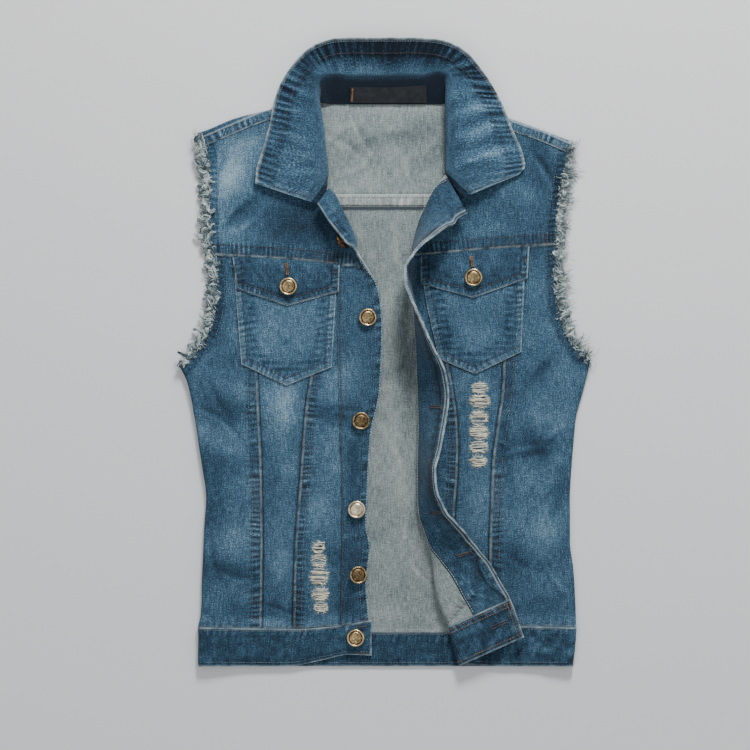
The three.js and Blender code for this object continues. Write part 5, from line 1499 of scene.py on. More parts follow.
def new_material(name):
    """A material with one Principled shader, and helpers that add nodes, link to the shader's
    sockets and set their values."""
    material = bpy.data.materials.new(name)
    material.use_nodes = True
    tree = material.node_tree
    shader = tree.nodes["Principled BSDF"]

    def add(kind, inputs=(), **settings):
        node = tree.nodes.new(kind)
        for key, value in settings.items():
            setattr(node, key, value)
        for key, value in dict(inputs).items():
            if isinstance(value, bpy.types.NodeSocket):
                tree.links.new(value, node.inputs[key])
            else:
                node.inputs[key].default_value = value
        return node

    def connect(output, socket):
        tree.links.new(output, shader.inputs[socket])

    def settle(values):
        for socket, value in values.items():
            shader.inputs[socket].default_value = value

    return material, add, connect, settle


def maths(add, operation, a, b, clamp=False):
    return add("ShaderNodeMath", {0: a, 1: b}, operation=operation, use_clamp=clamp).outputs[0]


def stretched_noise(add, cloth, scale, detail, roughness=0.5):
    """Noise over the cloth, with a feature size in mm for each direction."""
    spread = add("ShaderNodeVectorMath", {0: cloth, 1: tuple(1 / s for s in scale)},
                 operation="MULTIPLY").outputs[0]
    return add("ShaderNodeTexNoise", {"Vector": spread, "Scale": 1.0, "Detail": detail,
                                      "Roughness": roughness}).outputs["Fac"]


def ramp(add, factor, *stops):
    node = add("ShaderNodeValToRGB", {"Fac": factor})
    elements = node.color_ramp.elements
    while len(elements) < len(stops):
        elements.new(0.5)
    for element, (position, colour) in zip(elements, stops):
        element.position = position
        element.color = (*colour, 1)
    return node.outputs["Color"]


def blend(add, share, first, second):
    node = add("ShaderNodeMix", {"Factor": share}, data_type="RGBA")
    tree = node.id_data
    for socket, value in zip([s for s in node.inputs if s.type == "RGBA"], (first, second)):
        if isinstance(value, bpy.types.NodeSocket):
            tree.links.new(value, socket)
        else:
            socket.default_value = (*value, 1)
    return [s for s in node.outputs if s.type == "RGBA"][0]


def denim(name, stops, speckle, streak, cloud, pale):
    """Denim: its dye from the fading and painted shade carried on its points and noise along the
    yarns, worn to pale, and a twill's bump.
    """
    material, add, connect, settle = new_material(name)
    cloth = add("ShaderNodeAttribute", attribute_name="cloth").outputs["Vector"]
    wear_and_shade = add("ShaderNodeSeparateColor",
               {"Color": add("ShaderNodeAttribute", attribute_name="wear_and_shade").outputs["Color"]}).outputs
    grain = stretched_noise(add, cloth, (1.1, 1.35, 1.0), 2.0, 0.6)
    slub = stretched_noise(add, cloth, (1.5, 12.0, 1.0), 2.0, 0.6)
    weft = stretched_noise(add, cloth, (9.0, 1.0, 1.0), 1.0, 0.5)
    mottle = stretched_noise(add, cloth, (5.0, 6.5, 1.0), 3.0, 0.6)
    clouds = stretched_noise(add, cloth, (26.0, 34.0, 1.0), 3.0, 0.55)
    # The red channel holds the fading together with the painted shade and painted highlights
    tone = wear_and_shade["Red"]
    for noise, amount in ((grain, speckle), (slub, streak), (weft, streak * 0.6),
                          (mottle, cloud * 0.7), (clouds, cloud)):
        centred = maths(add, "SUBTRACT", noise, 0.5)
        tone = maths(add, "ADD", tone, maths(add, "MULTIPLY", centred, amount))
    colour = ramp(add, tone, *stops)
    worn = maths(add, "MULTIPLY", wear_and_shade["Green"], maths(add, "ADD", grain, 0.55), True)
    colour = blend(add, worn, colour, pale)
    stained = maths(add, "MULTIPLY", wear_and_shade["Blue"], maths(add, "ADD", slub, 0.2), True)
    connect(blend(add, stained, colour, STAIN), "Base Color")
    settle({"Roughness": 0.88, "Sheen Weight": 0.12, "Sheen Roughness": 0.5,
            "Specular IOR Level": 0.2})
    turned = add("ShaderNodeVectorRotate", {"Vector": cloth, "Angle": math.radians(63)},
                 rotation_type="Z_AXIS").outputs[0]
    twill = add("ShaderNodeTexWave", {"Vector": turned, "Scale": 0.36, "Distortion": 1.6, "Detail": 1.0,
                                      "Detail Scale": 1.5}).outputs["Fac"]
    height = maths(add, "ADD", maths(add, "MULTIPLY", twill, 0.16), maths(add, "MULTIPLY", grain, 0.75))
    height = maths(add, "ADD", height, maths(add, "MULTIPLY", slub, 0.35))
    bump = add("ShaderNodeBump", {"Height": height, "Strength": 0.7, "Distance": 0.0009})
    connect(bump.outputs["Normal"], "Normal")
    return material


def object_noise(add, scale, detail):
    where = add("ShaderNodeTexCoord").outputs["Object"]
    return add("ShaderNodeTexNoise", {"Vector": where, "Scale": scale,
                                      "Detail": detail}).outputs["Fac"]


def thread(name, dark, light):
    """Thread that varies between two colours from place to place."""
    material, add, connect, settle = new_material(name)
    connect(ramp(add, object_noise(add, 160.0, 2.0), (0.35, dark), (0.65, light)), "Base Color")
    settle({"Roughness": 0.85})
    return material


def brass(name, dark, light, roughness):
    """Metal tarnished from light to dark, with fine pits."""
    material, add, connect, settle = new_material(name)
    noise = object_noise(add, 420.0, 3.0)
    connect(ramp(add, noise, (0.35, dark), (0.68, light)), "Base Color")
    settle({"Metallic": 1.0, "Roughness": roughness})
    bump = add("ShaderNodeBump", {"Height": noise, "Strength": 0.3, "Distance": 0.0004})
    connect(bump.outputs["Normal"], "Normal")
    return material


# Colour of the brown that thread leaves, and dye from dark to light for each face of the cloth
STAIN = (0.058, 0.052, 0.056)
OUT_STOPS = ((0.0, (0.004, 0.010, 0.020)), (0.25, (0.012, 0.032, 0.058)), (0.5, (0.033, 0.090, 0.150)),
             (0.75, (0.118, 0.218, 0.305)), (1.0, (0.36, 0.47, 0.53)))
IN_STOPS = ((0.0, (0.045, 0.065, 0.075)), (0.3, (0.125, 0.165, 0.170)), (0.5, (0.225, 0.272, 0.270)),
            (0.75, (0.36, 0.41, 0.395)), (1.0, (0.58, 0.62, 0.59)))

MATERIALS = {
    "denim_out": denim("denim outside", OUT_STOPS, speckle=1.32, streak=0.56, cloud=0.26,
                       pale=(0.40, 0.50, 0.53)),
    "denim_in": denim("denim inside", IN_STOPS, speckle=1.05, streak=0.70, cloud=0.28,
                      pale=(0.56, 0.60, 0.57)),
    "label": thread("woven label", (0.006, 0.0075, 0.010), (0.015, 0.018, 0.023)),
    "tonal": thread("thread tonal", (0.055, 0.085, 0.115), (0.20, 0.25, 0.28)),
    "pale": thread("thread pale", (0.30, 0.37, 0.39), (0.55, 0.60, 0.58)),
    "brown": thread("thread brown", (0.040, 0.038, 0.044), (0.125, 0.098, 0.088)),
    "orange": thread("thread orange", (0.13, 0.075, 0.045), (0.38, 0.215, 0.10)),
    "cream": thread("weft thread", (0.50, 0.48, 0.37), (0.86, 0.82, 0.66)),
    "fray": thread("frayed thread", (0.17, 0.235, 0.245), (0.60, 0.67, 0.64)),
    "fray_dark": thread("frayed thread dark", (0.025, 0.05, 0.07), (0.15, 0.21, 0.24)),
    "brass": brass("antique brass", (0.52, 0.37, 0.17), (0.88, 0.70, 0.42), roughness=0.30),
    "brass_dome": brass("antique brass dome", (0.17, 0.115, 0.05), (0.66, 0.50, 0.27),
                        roughness=0.40),
    # Also the whole of the first front button, as painted shade under the lapel
    "brass_dark": brass("antique brass recess and painted shade", (0.030, 0.020, 0.014), (0.13, 0.085, 0.045),
                        roughness=0.5),
    "brass_tarnished": brass("tarnished brass", (0.06, 0.040, 0.022), (0.34, 0.24, 0.12),
                             roughness=0.45),
    "brass_pale": brass("rubbed brass", (0.60, 0.50, 0.34), (0.92, 0.82, 0.62), roughness=0.34),
}


# The pieces, each on its solid

def garment():
    pieces = [back_centre(), back_band(), back_yoke()]
    for name, side in SIDES.items():
        pieces += [back_side(f"back_side_{name}", side), front_yoke(f"{name}_front_yoke", side),
                   side_panel(f"{name}_side_panel", side), mid_panel(f"{name}_mid_panel", side),
                   centre_panel(f"{name}_centre_panel", side), placket(f"{name}_placket", side),
                   front_band(f"{name}_waistband", side), *pocket_and_flap(name, side)]
    pieces.append(Piece("collar", collar_surface, np.linspace(0, COLLAR_LAST, 249),
                        fine((0, 1, 14), (1, 2, 34)), COLLAR_CLOTH, 1, collar_look,
                        inside="denim_out", slot="denim_collar"))
    pieces.append(neck_label())
    return {piece.name: piece for piece in pieces}


def dress(obj, *nodes, slot):
    """Puts a finished piece in the place of its CAD nodes."""
    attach(obj, "root")
    if nodes:
        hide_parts(*nodes)
    return obj


PIECES = garment()
for piece in PIECES.values():
    shell = build_shell(piece)
    shell.name = f"cloth_{piece.name}"
    dress(shell, piece.name, slot=piece.slot)


# Threads: small capsules laid along lines on the cloth

STITCH_PITCH = 3.2
STITCH_LENGTH = 2.5
STITCH_RADIUS = 0.34
THREAD_SIDES = 4


def along_line(place, normal, step):
    """Points at even steps along a line in space, with the normals there."""
    gaps = np.linalg.norm(np.diff(place, axis=0), axis=1)
    at = np.concatenate([[0], np.cumsum(gaps)])
    wanted = np.arange(0.5 * step, at[-1], step)
    return (np.stack([np.interp(wanted, at, place[:, k]) for k in range(3)], -1),
            unit(np.stack([np.interp(wanted, at, normal[:, k]) for k in range(3)], -1)))


def capsules(starts, ends, normals, radius, bulge=0.25):
    """Positions and faces of small pointed threads, each from a start to an end."""
    shares = np.array([0, 0.22, 0.78, 1])
    sizes = radius * np.array([0.35, 1, 1, 0.35])
    lifts = np.array([-0.25, bulge, bulge, -0.25])
    axis = unit(ends - starts)
    side = unit(np.cross(normals, axis))
    centre = (starts[:, None] + (ends - starts)[:, None] * shares[:, None]
              + normals[:, None] * lifts[:, None])
    angle = np.arange(THREAD_SIDES) * 2 * math.pi / THREAD_SIDES
    offset = (side[:, None, None] * np.cos(angle)[:, None]
              + normals[:, None, None] * np.sin(angle)[:, None])
    rings = centre[:, :, None] + offset * sizes[:, None, None]
    return rings.reshape(-1, 3), tube_faces(len(starts), len(shares))


def tube_faces(count, rings):
    """Quads of many four-sided tubes, with their ends."""
    sides = THREAD_SIDES
    k, n = np.meshgrid(np.arange(rings - 1), np.arange(sides), indexing="ij")
    a = (k * sides + n).ravel()
    b = (k * sides + (n + 1) % sides).ravel()
    body = np.stack([a, b, b + sides, a + sides], 1)
    last = (rings - 1) * sides
    caps = np.array([[3, 2, 1, 0], [last, last + 1, last + 2, last + 3]])
    body = np.concatenate([body, caps])
    return (body + (np.arange(count) * rings * sides)[:, None, None]).reshape(-1, 4)


def tubes(paths, radii):
    """Positions and faces of many bent threads: paths are count by rings by 3, in mm."""
    tangent = unit(np.gradient(paths, axis=1))
    side = unit(np.cross(tangent, (0.12, 0.2, 1.0)))
    over = np.cross(side, tangent)
    angle = np.arange(THREAD_SIDES) * 2 * math.pi / THREAD_SIDES
    offset = side[:, :, None] * np.cos(angle)[:, None] + over[:, :, None] * np.sin(angle)[:, None]
    rings = paths[:, :, None] + offset * radii[:, :, None, None]
    return rings.reshape(-1, 3), tube_faces(len(paths), paths.shape[1])


class Threads:
    """All the threads of one colour, gathered into one piece."""

    def __init__(self):
        self.parts = {}

    def put(self, colour, positions, faces):
        self.parts.setdefault(colour, []).append((positions, faces))

    def row(self, colour, place, normal, radius=STITCH_RADIUS):
        """A row of topstitching along a line."""
        middle, up = along_line(place, normal, STITCH_PITCH)
        if len(middle) < 2:
            return
        half = unit(np.gradient(middle, axis=0)) * STITCH_LENGTH / 2
        self.put(colour, *capsules(middle - half, middle + half, up, radius))

    def satin(self, colour, place, normal, width, pitch=0.62, radius=0.36):
        """Close stitches across a line, as round a buttonhole or in a bartack."""
        middle, up = along_line(place, normal, pitch)
        across = unit(np.cross(up, np.gradient(middle, axis=0))) * width / 2
        self.put(colour, *capsules(middle - across, middle + across, up, radius, 0.4))

    def joined(self, name, slot):
        objects = []
        for colour, parts in self.parts.items():
            counts = np.cumsum([0] + [len(p) for p, _ in parts[:-1]])
            positions = np.concatenate([p for p, _ in parts])
            faces = np.concatenate([f + c for (_, f), c in zip(parts, counts)])
            obj = mesh_object(f"{name}_{colour}", positions, faces)
            obj.data.materials.append(MATERIALS[colour])
            objects.append(dress(obj, slot=slot))
        return objects


def on_front(side, xy, thickness=DENIM, above=0.05):
    """Points on the outer face of a front's flat cloth, from their places in plan."""
    x, y = np.asarray(xy, float).T
    place, cloth = flat_point(x, y)
    normal = front_normal(x, y)
    relief = front_look(side, cloth).relief
    return place + normal * (thickness + relief + above)[:, None], normal


def on_piece(name, u, v, outer=True, above=0.05):
    return PIECES[name].face(u, v, outer, above)


def between(xy, low_x=-FAR, high_x=FAR, low_y=-FAR, high_y=FAR):
    """The points of a line that lie within a rectangle in plan."""
    x, y = xy.T
    return xy[(x > low_x) & (x < high_x) & (y > low_y) & (y < high_y)]


def sew_front(threads, side_name, side):
    """Topstitching of one front."""
    lines = LINES[side]
    inner_end = (-FAR, -57) if side is RIGHT else (37, FAR)
    for offset in (1.7, 11.3):
        xy = between(lines["yoke"].shifted(offset), *inner_end)
        threads.row("brown", *on_front(side, xy))
    for name, toward, width in (("outer", -side.out, 12), ("inner", side.out, 10)):
        for offset in (ROW_INSET, width - ROW_INSET):
            xy = between(lines[name].shifted(toward * offset), *inner_end)
            threads.row("tonal", *on_front(side, xy))
    band_end = (-FAR, -58) if side is RIGHT else (78, FAR)
    threads.row("tonal", *on_front(side, between(lines["band"].shifted(1.8), *band_end)))
    for share in (0.07, 0.9):
        threads.row("tonal", *on_piece(f"{side_name}_waistband", np.linspace(0.02, 0.985, 300), share))
    arm = lines["armhole"]
    for candidate in (11, -11):
        xy = between(arm.shifted(candidate), low_y=side.armhole_end + 6, high_y=570)
        if abs(xy[:, 0]).mean() < abs(arm.points[:, 0]).mean():
            threads.row("tonal", *on_front(side, xy))
    reach = PLACKET - (HALF_SEAM if side.flat else BENT_SEAM)
    v = np.linspace(0.004, 0.996, 500)
    for s, colour in ((1.7, "pale"), (8.6, "tonal"), (43.6, "brown")):
        threads.row(colour, *on_piece(f"{side_name}_placket", s / reach, v))
    for part, top, lift in (("pocket", 428, DENIM + STACK_GAP),
                            ("pocket_flap", 452, 2 * (DENIM + STACK_GAP))):
        outline = PIECES[f"{side_name}_{part}"].outline
        for offset, colour in ((ROW_INSET, "tonal"), (7.6, "brown")):
            either = (outline.shifted(-offset), outline.shifted(offset))
            xy = between(min(either, key=lambda line: np.ptp(line[:, 0])), high_y=top)
            threads.row(colour, *on_front(side, xy, DENIM + lift, 0.35))


def sew_curves(threads):
    """Faint curved rows on the right placket, where the pocket bags are caught."""
    for row in CURVED_ROWS:
        x, y = np.array(row, float).T
        length = np.concatenate([[0], np.hypot(np.diff(x), np.diff(y)).cumsum()])
        s = np.linspace(0, length[-1], 90)
        share = s / length[-1]
        bend = 1.5 * np.sin(math.pi * share)
        xy = np.stack([np.interp(s, length, x) + bend, np.interp(s, length, y)], -1)
        threads.row("brown", *on_front(RIGHT, xy, DOUBLE), radius=0.3)


def sew_turned_front(threads):
    """What shows of the left front's inner face where it turns back."""
    reach = PLACKET - BENT_SEAM
    v = np.linspace(0.004, 0.996, 500)
    for s, colour, width in ((3.9, "pale", 0.3), (44.4, "pale", 0.34), (9.2, "brown", 0.3)):
        threads.row(colour, *on_piece("left_placket", s / reach, v, outer=False), radius=width)
    first, last = LEFT.front[0]["y"], LEFT.front[-2]["y"]
    for y in HOLES:
        at = (first - y) / (first - last)
        u = np.linspace(9, 26, 40) / reach
        for shift in (-0.0022, 0.0022):
            threads.satin("brown", *on_piece("left_placket", u, at + shift, outer=False), 1.5)
        bar = at + np.linspace(-0.005, 0.005, 12)
        threads.satin("brown", *on_piece("left_placket", 9 / reach, bar, outer=False), 1.8)
    u, v = np.linspace(-0.985, -0.03, 200), np.linspace(0.08, 0.9, 60)
    for place in ((u, 0.08), (u, 0.17), (u, 0.9), (-0.97, v), (-0.93, v)):
        threads.row("orange", *on_piece("left_waistband", *place, outer=False), radius=0.4)
    u = np.linspace(-0.86, -0.66, 40)
    for shift in (0.44, 0.5):
        threads.satin("brown", *on_piece("left_waistband", u, shift, outer=False), 1.6)


def sew_collar(threads):
    u = np.linspace(0.05, COLLAR_LAST - 0.05, 900)
    fall = COLLAR_DEEP(u) - COLLAR_ACROSS(u, 1)
    for distance, colour in ((2.0, "tonal"), (9.0, "brown")):
        threads.row(colour, *on_piece("collar", u, 2 - distance / fall))
    for at in (0.22, COLLAR_LAST - 0.22):
        threads.row("brown", *on_piece("collar", at, np.linspace(1.05, 1.9, 80)))


def sew_back(threads):
    """Rows on the back's inner face, which shows through the open front."""
    x = np.linspace(0.02, 0.98, 500)
    for height, colour, radius in ((1.6, "brown", 0.4), (11.6, "pale", 0.6), (12.9, "pale", 0.5)):
        v = (height - HALF_SEAM) / (NECK_SEAM - BACK_YOKE_SEAM - HALF_SEAM)
        threads.row(colour, *on_piece("back_yoke", 1 + x, v, outer=False), radius=radius)
    v = np.linspace(0.01, 0.99, 500)
    half = BACK_X(mix(BACK_TOP, BAND_TOP_BACK, v)) - HALF_SEAM
    for offset in (2.5, 8.5):
        for sign in (-1, 1):
            u = 0.5 + sign * (0.5 - offset / 2 / half)
            threads.row("pale", *on_piece("back_centre", u, v, outer=False), radius=0.3)
    u = np.linspace(0.01, 0.99, 700)
    for share in (0.07, 0.9):
        threads.row("tonal", *on_piece("waistband_back", u, share, outer=False))
    for side in (RIGHT, LEFT):
        for offset in (1.7, 9.0):
            xy = LINES[side]["shoulder"].shifted(offset)
            xy = xy[np.abs(xy[:, 0]) > 84]
            place, normal = on_front(side, xy)
            threads.row("tonal", place + normal * 0.55, normal)


# Heights of the left placket's buttonholes, and the curved rows on the right placket
HOLES = (394, 293, 172, 118)
CURVED_ROWS = (((-45, 368), (-46, 323), (-50, 275)), ((-51, 163), (-44, 157), (-35, 142), (-32, 120)),
               ((-26, 332), (-25, 318), (-33, 300), (-44, 287)))


def sew():
    threads = Threads()
    for side_name, side in SIDES.items():
        sew_front(threads, side_name, side)
    sew_curves(threads)
    sew_turned_front(threads)
    sew_collar(threads)
    sew_back(threads)
    threads.joined("stitches", "frayed_thread")


# Buttonholes on the flaps, bartacks and the label's sewn end

FLAP_HOLES = rows("side x1 y1 x2 y2", (RIGHT, -112.2, 455.5, -110.9, 442), (LEFT, 96.2, 463, 98.2, 451))
BARTACKS = rows("side x1 y1 x2 y2", (RIGHT, -170, 452, -170, 445), (RIGHT, -56, 449, -56, 442),
                (LEFT, 45, 458, 45, 451), (LEFT, 157, 463, 157, 456),
                (RIGHT, -33, 44, -22, 45), (RIGHT, -22, 14, -33, 15))


def sew_holes():
    threads = Threads()

    def straight(row, count):
        return np.linspace((row["x1"], row["y1"]), (row["x2"], row["y2"]), count)

    for hole in FLAP_HOLES:
        for shift in (-0.85, 0.85):
            xy = straight(hole, 30) + [shift, 0]
            threads.satin("orange", *on_front(hole["side"], xy, ON_FLAP, 0.7), 1.7, radius=0.42)
    for tack in BARTACKS:
        xy = straight(tack, 20)
        threads.satin("brown", *on_front(tack["side"], xy, ON_FLAP, 0.3), 1.6)
    label_end = on_piece("neck_label", 0.03, np.linspace(0.08, 0.92, 30))
    threads.satin("orange", *label_end, 2.2, pitch=0.7)
    threads.joined("buttonholes", "frayed_thread")


# Worn-through places with their weft threads left

def weave_ladders():
    random = np.random.default_rng(5)
    threads = Threads()
    for hole in LADDERS:
        side = RIGHT if hole["x"] < 0 else LEFT
        count = int(hole["height"] / 1.15)
        for k in range(count):
            y = hole["y"] + hole["height"] * ((k + 0.5) / count - 0.5) + random.normal(0, 0.45)
            bulge = math.sqrt(max(0.05, 1 - (2 * (k + 0.5) / count - 1) ** 2))
            half = hole["width"] / 2 * (0.55 + 0.5 * bulge) * random.uniform(0.85, 1.2)
            middle = hole["x"] + random.normal(0, 1.5)
            t = np.linspace(-1, 1, 9)
            wander = random.normal(0, 0.35, 9).cumsum() * 0.6
            line = np.stack([middle + half * t, y + wander + random.normal(0, 0.9) * (1 - t * t)], -1)
            place, normal = on_front(side, line, DENIM, 0)
            place = place + normal * (0.3 + 0.9 * (1 - t * t) * random.uniform(0.5, 1.5))[:, None]
            radii = random.uniform(0.38, 0.68) * np.array([[0.4, 1, 1, 1, 1, 1, 1, 1, 0.4]])
            colour = "cream" if random.random() < 0.88 else "pale"
            threads.put(colour, *tubes(place[None], radii))
        for _ in range(int(hole["width"] * 2.6)):
            angle = random.uniform(0, 2 * math.pi)
            start = np.array([hole["x"] + hole["width"] / 2 * math.cos(angle),
                              hole["y"] + hole["height"] / 2 * math.sin(angle)])
            out = np.array([math.cos(angle + random.normal(0, 0.7)),
                            math.sin(angle + random.normal(0, 0.7))])
            t = np.linspace(-0.3, 1, 5)
            line = start + out * (t * random.uniform(1.5, 3.6))[:, None]
            place, normal = on_front(side, line, DENIM, 0.25)
            colour = "cream" if random.random() < 0.6 else "pale"
            threads.put(colour, *tubes(place[None], 0.3 * np.array([[1, 1, 1, 0.8, 0.3]])))
    threads.joined("worn_threads", "frayed_thread")


# Frayed armholes

# Share of the loose threads that are pale
MOST_PALE = 0.78
FEW_PALE = 0.45

FRAYS = rows("name side front seed",
             ("armhole_fray_right_front", RIGHT, True, 11), ("armhole_fray_left_front", LEFT, True, 23),
             ("armhole_fray_right_back", RIGHT, False, 37), ("armhole_fray_left_back", LEFT, False, 53))


def fray_edge(side, y):
    """A place on the armhole's edge, and the direction out of the cloth there."""
    x = side.armhole_x(y)
    slope = (side.armhole_x(y + 1) - side.armhole_x(y - 1)) / 2
    length = np.hypot(1, slope)
    return x, side.out / length, -side.out * slope / length


def fray(name, side, front, seed):
    """The frayed edge of one armhole's front or back."""
    random = np.random.default_rng(seed)
    high = side.shoulder_tip["y"] + 1 if front else side.armhole[0]["y"] - 8
    low = side.armhole_end + (-1 if front else 6)
    thick, lowest, highest = (3.4, 0.6, 20) if front else (0.9, 0.3, 1.9)
    threads = Threads()

    def strands(count, length, radius, curl, near, pale_share):
        """Loose threads that start near the edge, each with its own length, turn and arch."""
        y = mix(high, low, (np.arange(count) + random.uniform(0, 1, count)) / count)
        x, ox, oy = fray_edge(side, y)
        rings = 6
        t = np.linspace(0, 1, rings)
        lengths = length * random.uniform(0.5, 1.35, count)
        lengths *= 1 + 0.55 * noise_line(y, 9, seed + 3)
        turn = random.normal(0, 0.55, count) + 0.5 * noise_line(y, 14, seed + 4)
        bend = random.normal(0, curl, count)
        angle = turn[:, None] + bend[:, None] * t
        dx = ox[:, None] * np.cos(angle) - oy[:, None] * np.sin(angle)
        dy = oy[:, None] * np.cos(angle) + ox[:, None] * np.sin(angle)
        step = lengths[:, None] / (rings - 1)
        root = random.uniform(*near, count)
        px = (x + ox * root)[:, None] + np.cumsum(dx * step, 1) - dx[:, :1] * step
        py = (y + oy * root)[:, None] + np.cumsum(dy * step, 1) - dy[:, :1] * step
        base = front_height(x, y) if front else np.full(count, 0.5)
        rise = random.uniform(-0.2, 1, count) * thick
        arch = random.uniform(0.2, 1.0, count) * thick * 0.25
        pz = ((base + 0.5 + rise)[:, None] + arch[:, None] * np.sin(math.pi * t)
              - rise[:, None] * 0.5 * t)
        pz = np.clip(pz, lowest, highest)
        taper = np.array([0.9, 1, 1, 0.9, 0.75, 0.35])
        sizes = radius * random.uniform(0.7, 1.3, count)[:, None] * taper
        put_two(np.stack([px, py, pz], -1), sizes, random.random(count) >= pale_share, pale_first=True)

    def put_two(paths, sizes, dark, pale_first=False):
        """The threads in their two colours."""
        colours = (("fray_dark", dark), ("fray", ~dark))
        for colour, these in colours[::-1] if pale_first else colours:
            if these.any():
                threads.put(colour, *tubes(paths[these], sizes[these]))

    def bundles(count, strong, length, radius):
        """Thick curls of twisted threads, rolled along the edge."""
        rings = 8
        t = np.linspace(0, 1, rings)
        centres = mix(high, low, (np.arange(count) + random.uniform(-0.3, 1.3, count)) / count)
        for centre in np.clip(centres, low, high):
            x, ox, oy = fray_edge(side, np.array([centre]))
            lean = random.choice((-1, 1)) * random.uniform(0.25, 1.25)
            turn = random.normal(0, 1.7)
            angle = np.arctan2(oy, ox) + lean + turn * t
            size = length * random.uniform(0.5, 1.25)
            step = size / (rings - 1)
            px = (x + ox * random.uniform(-2.5, 2.0) + np.cumsum(np.cos(angle)) * step
                  - np.cos(angle[0]) * step)
            py = centre + np.cumsum(np.sin(angle)) * step - np.sin(angle[0]) * step
            lift = random.uniform(0.2, 1.0) * 2.4
            pz = (front_height(x, np.array([centre])) + 0.9 + lift + 1.6 * np.sin(math.pi * t)
                  - (1.6 + lift) * t * random.uniform(0, 0.6))
            across = np.stack([-np.sin(angle), np.cos(angle), np.zeros(rings)], -1)
            swell = (0.6 + 0.4 * np.sin(math.pi * t))[:, None]
            offsets = random.normal(0, 1.3, (strong, 1, 1)) * swell
            heights = random.normal(0, 0.6, (strong, 1)) + np.zeros(rings)
            paths = np.stack([px, py, pz], -1)[None] + across[None] * offsets
            paths += random.normal(0, 0.22, paths.shape)
            paths[..., 2] = np.clip(paths[..., 2] + heights, 0.9, 19)
            taper = np.array([0.7, 1, 1, 1, 1, 1, 0.9, 0.5])
            sizes = radius * random.uniform(0.7, 1.25, (strong, 1)) * taper
            dark_share = 0.8 if random.random() < 0.3 else 0.2
            put_two(paths, sizes, random.random(strong) < dark_share)

    if front and side is RIGHT:
        bundles(96, strong=9, length=13.0, radius=0.58)
        strands(360, length=6.0, radius=0.5, curl=2.4, near=(-4.5, 1.5), pale_share=FEW_PALE)
        strands(340, length=7.5, radius=0.26, curl=1.6, near=(0.0, 5.0), pale_share=MOST_PALE)
    elif front:
        bundles(54, strong=7, length=10.0, radius=0.5)
        strands(420, length=8.0, radius=0.42, curl=1.4, near=(-2.5, 3.5), pale_share=MOST_PALE)
        strands(340, length=5.0, radius=0.42, curl=2.2, near=(-4.5, 1.5), pale_share=FEW_PALE)
        strands(420, length=11.5, radius=0.24, curl=1.0, near=(0.0, 5.0), pale_share=MOST_PALE)
    else:
        strands(420, length=8.0, radius=0.24, curl=1.2, near=(-1.5, 3.5), pale_share=MOST_PALE)
        strands(160, length=4.0, radius=0.24, curl=1.2, near=(-2.0, 1.0), pale_share=FEW_PALE)
    objects = threads.joined(name.replace("armhole_fray", "fray"), "frayed_thread")
    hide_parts(name)
    return objects


# Buttons, in the same places as the solids

BUTTON_PROFILE = ((0, 0), (3.2, 0), (3.2, 2.2), (9.3, 2.4), (9.85, 2.9), (10, 3.4), (9.8, 4.05), (9.3, 4.5),
                  (8.75, 4.62), (8.2, 4.4), (7.8, 3.95), (7.5, 3.55), (7.1, 3.45), (6.8, 3.6), (6.5, 3.95),
                  (5.6, 4.25), (4.6, 4.35), (4.2, 4.28), (3.6, 4.42), (2.2, 4.56), (0, 4.6))
BUTTON_SIDES = 56
RECESS = (6.7, 7.9)
RIM_RINGS = 5
# Rim, recess and dome of the buttons that differ from the rest: the first is dark all over as
# painted shade, for it lies in the shadow under the turned lapel; the others are more tarnished or
# brighter than the rest
BUTTON_LOOKS = {"front_button_1": ("brass_dark", "brass_dark", "brass_dark"),
                "front_button_3": ("brass_dome", "brass_dark", "brass_tarnished"),
                "front_button_4": ("brass_pale", "brass_dome", "brass_pale"),
                "front_button_5": ("brass_dome", "brass_dark", "brass_tarnished")}


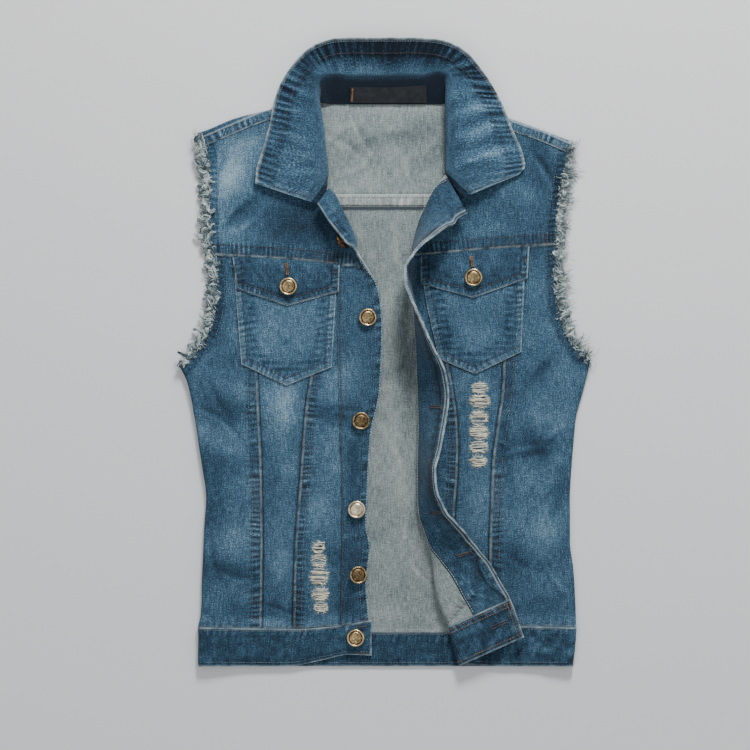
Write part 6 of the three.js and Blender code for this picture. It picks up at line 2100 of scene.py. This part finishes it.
def button(name, surface, u, v, facing, clearance, tip):
    """A shank button turned from its profile, on a place of the cloth."""
    place = surface(u, v)[0]
    normal = Vector(normal_of(surface, u, v, facing))
    turn = Vector((0, 0, 1)).rotation_difference(normal).to_matrix()
    turn = np.array(turn @ Matrix.Rotation(tip, 3, "Y"))
    place = place + np.array(normal) * (clearance + STACK_GAP + BUTTON_FOOT * math.sin(tip))
    profile = np.array(BUTTON_PROFILE)[1:-1]
    angle = np.arange(BUTTON_SIDES) * 2 * math.pi / BUTTON_SIDES
    r, z = profile[:, :1], profile[:, 1:]
    ring = np.stack(np.broadcast_arrays(r * np.cos(angle), r * np.sin(angle), z), -1)
    positions = np.concatenate([ring.reshape(-1, 3), [[0, 0, 0], [0, 0, BUTTON_PROFILE[-1][1]]]])
    k, n = np.meshgrid(np.arange(len(r) - 1), np.arange(BUTTON_SIDES), indexing="ij")
    a, b = k * BUTTON_SIDES + n, k * BUTTON_SIDES + (n + 1) % BUTTON_SIDES
    faces = np.stack([a, b, b + BUTTON_SIDES, a + BUTTON_SIDES], -1).reshape(-1, 4)
    middle = ((r[:-1] + r[1:]) / 2 * np.ones(BUTTON_SIDES)).ravel()
    recessed = (middle > RECESS[0]) & (middle < RECESS[1]) & (k.ravel() > RIM_RINGS)
    kinds = np.where(recessed, 1, np.where(middle < RECESS[0], 2, 0))
    ends = []
    n = np.arange(0, BUTTON_SIDES, 2)
    last = (len(r) - 1) * BUTTON_SIDES
    bottom, top = len(positions) - 2, len(positions) - 1
    for start, tip_point, flip in ((0, bottom, True), (last, top, False)):
        quad = np.stack([start + n, start + n + 1, start + (n + 2) % BUTTON_SIDES,
                         np.full(len(n), tip_point)], 1)
        ends.append(quad[:, ::-1] if flip else quad)
    faces = np.concatenate([faces, *ends])
    kinds = np.concatenate([kinds, np.full(len(n), 1), np.full(len(n), 2)])
    obj = mesh_object(f"brass_{name}", positions @ turn.T + place, faces, kinds)
    for look in BUTTON_LOOKS.get(name, ("brass", "brass_dark", "brass_dome")):
        obj.data.materials.append(MATERIALS[look])
    return dress(obj, name, slot="brass")


def buttons():
    def strip(u, v):
        return front_strip(RIGHT, v, u)

    for i, row in enumerate(FRONT_BUTTONS):
        button(f"front_button_{i + 1}", strip, row["inset"], row["y"], -1, DOUBLE, row["tip"])
    button("front_button_6", flat_point, *BAND_BUTTON, 1, BAND, 0)
    for name, (x, y) in FLAP_BUTTONS.items():
        button(f"flap_button_{name}", flat_point, x, y, 1, ON_FLAP, 0)


sew()
sew_holes()
weave_ladders()
FRINGES = {row["name"]: fray(row["name"], row["side"], row["front"], row["seed"]) for row in FRAYS}
buttons()


# The fringe beside each fringed cloth, and each cloth's finished cut worked out from it laid flat

FRINGED = {f"{name}_side_panel": f"armhole_fray_{name}_front" for name in SIDES}
FRINGED.update({f"back_side_{name}": f"armhole_fray_{name}_back" for name in SIDES})


def flat_cut(piece):
    """Width, length and area of a piece's finished cut, in metres, from its cloth laid flat."""
    u, v, cells = piece.grid()
    place, cloth = piece.surface(u, v)
    first = np.cross(place[:-1, 1:] - place[:-1, :-1], place[1:, :-1] - place[:-1, :-1])
    second = np.cross(place[:-1, 1:] - place[1:, 1:], place[1:, :-1] - place[1:, 1:])
    area = (np.linalg.norm(first, axis=-1) + np.linalg.norm(second, axis=-1))[cells].sum() / 2
    used = np.zeros(u.shape, bool)
    used[:-1, :-1] |= cells
    used[1:, 1:] |= cells
    x, y = cloth[..., 0][used], cloth[..., 1][used]
    width, length = np.ptp(x), np.ptp(y)
    return (max(width, area / length) * MM, length * MM), area * MM * MM


for name, piece in PIECES.items():
    flat, area = flat_cut(piece)


# Floor, light and camera

FRAME_MIDDLE = Vector((-10.5 * MM, -25.5 * MM, 0))
FLOOR_SIZE = 8
WORLD_LIGHT = 0.30
LIGHTS = (("key", (0.45, 2.1, 1.25), 0.6, 78), ("fill", (-1.2, -0.8, 2.6), 2.6, 26),
          ("side", (2.2, 0.2, 1.4), 1.4, 10))
PHOTO_WIDTH = 847.5
CAMERA_HEIGHT = 6.0


def stage():
    bpy.ops.mesh.primitive_plane_add(size=FLOOR_SIZE, location=(0, 0, 0))
    floor = bpy.context.object
    floor.name = "floor"
    material, _, _, settle = new_material("pale floor")
    settle({"Base Color": (0.80, 0.81, 0.82, 1), "Roughness": 0.9})
    floor.data.materials.append(material)
    world = bpy.data.worlds.new("studio")
    world.use_nodes = True
    background = world.node_tree.nodes["Background"]
    background.inputs["Color"].default_value = (0.93, 0.96, 1.0, 1)
    background.inputs["Strength"].default_value = WORLD_LIGHT
    bpy.context.scene.world = world
    for name, place, size, power in LIGHTS:
        data = bpy.data.lights.new(name, "AREA")
        data.size, data.energy = size, power
        lamp = bpy.data.objects.new(name, data)
        lamp.location = place
        lamp.rotation_euler = (FRAME_MIDDLE - Vector(place)).to_track_quat("-Z", "Y").to_euler()
        bpy.context.scene.collection.objects.link(lamp)


def camera():
    data = bpy.data.cameras.new("camera")
    data.sensor_width = 36
    data.lens = data.sensor_width * CAMERA_HEIGHT / (PHOTO_WIDTH * MM)
    data.clip_end = 20
    view = bpy.data.objects.new("camera", data)
    view.location = FRAME_MIDDLE + Vector((0, 0, CAMERA_HEIGHT))
    bpy.context.scene.collection.objects.link(view)
    bpy.context.scene.camera = view


stage()
camera()
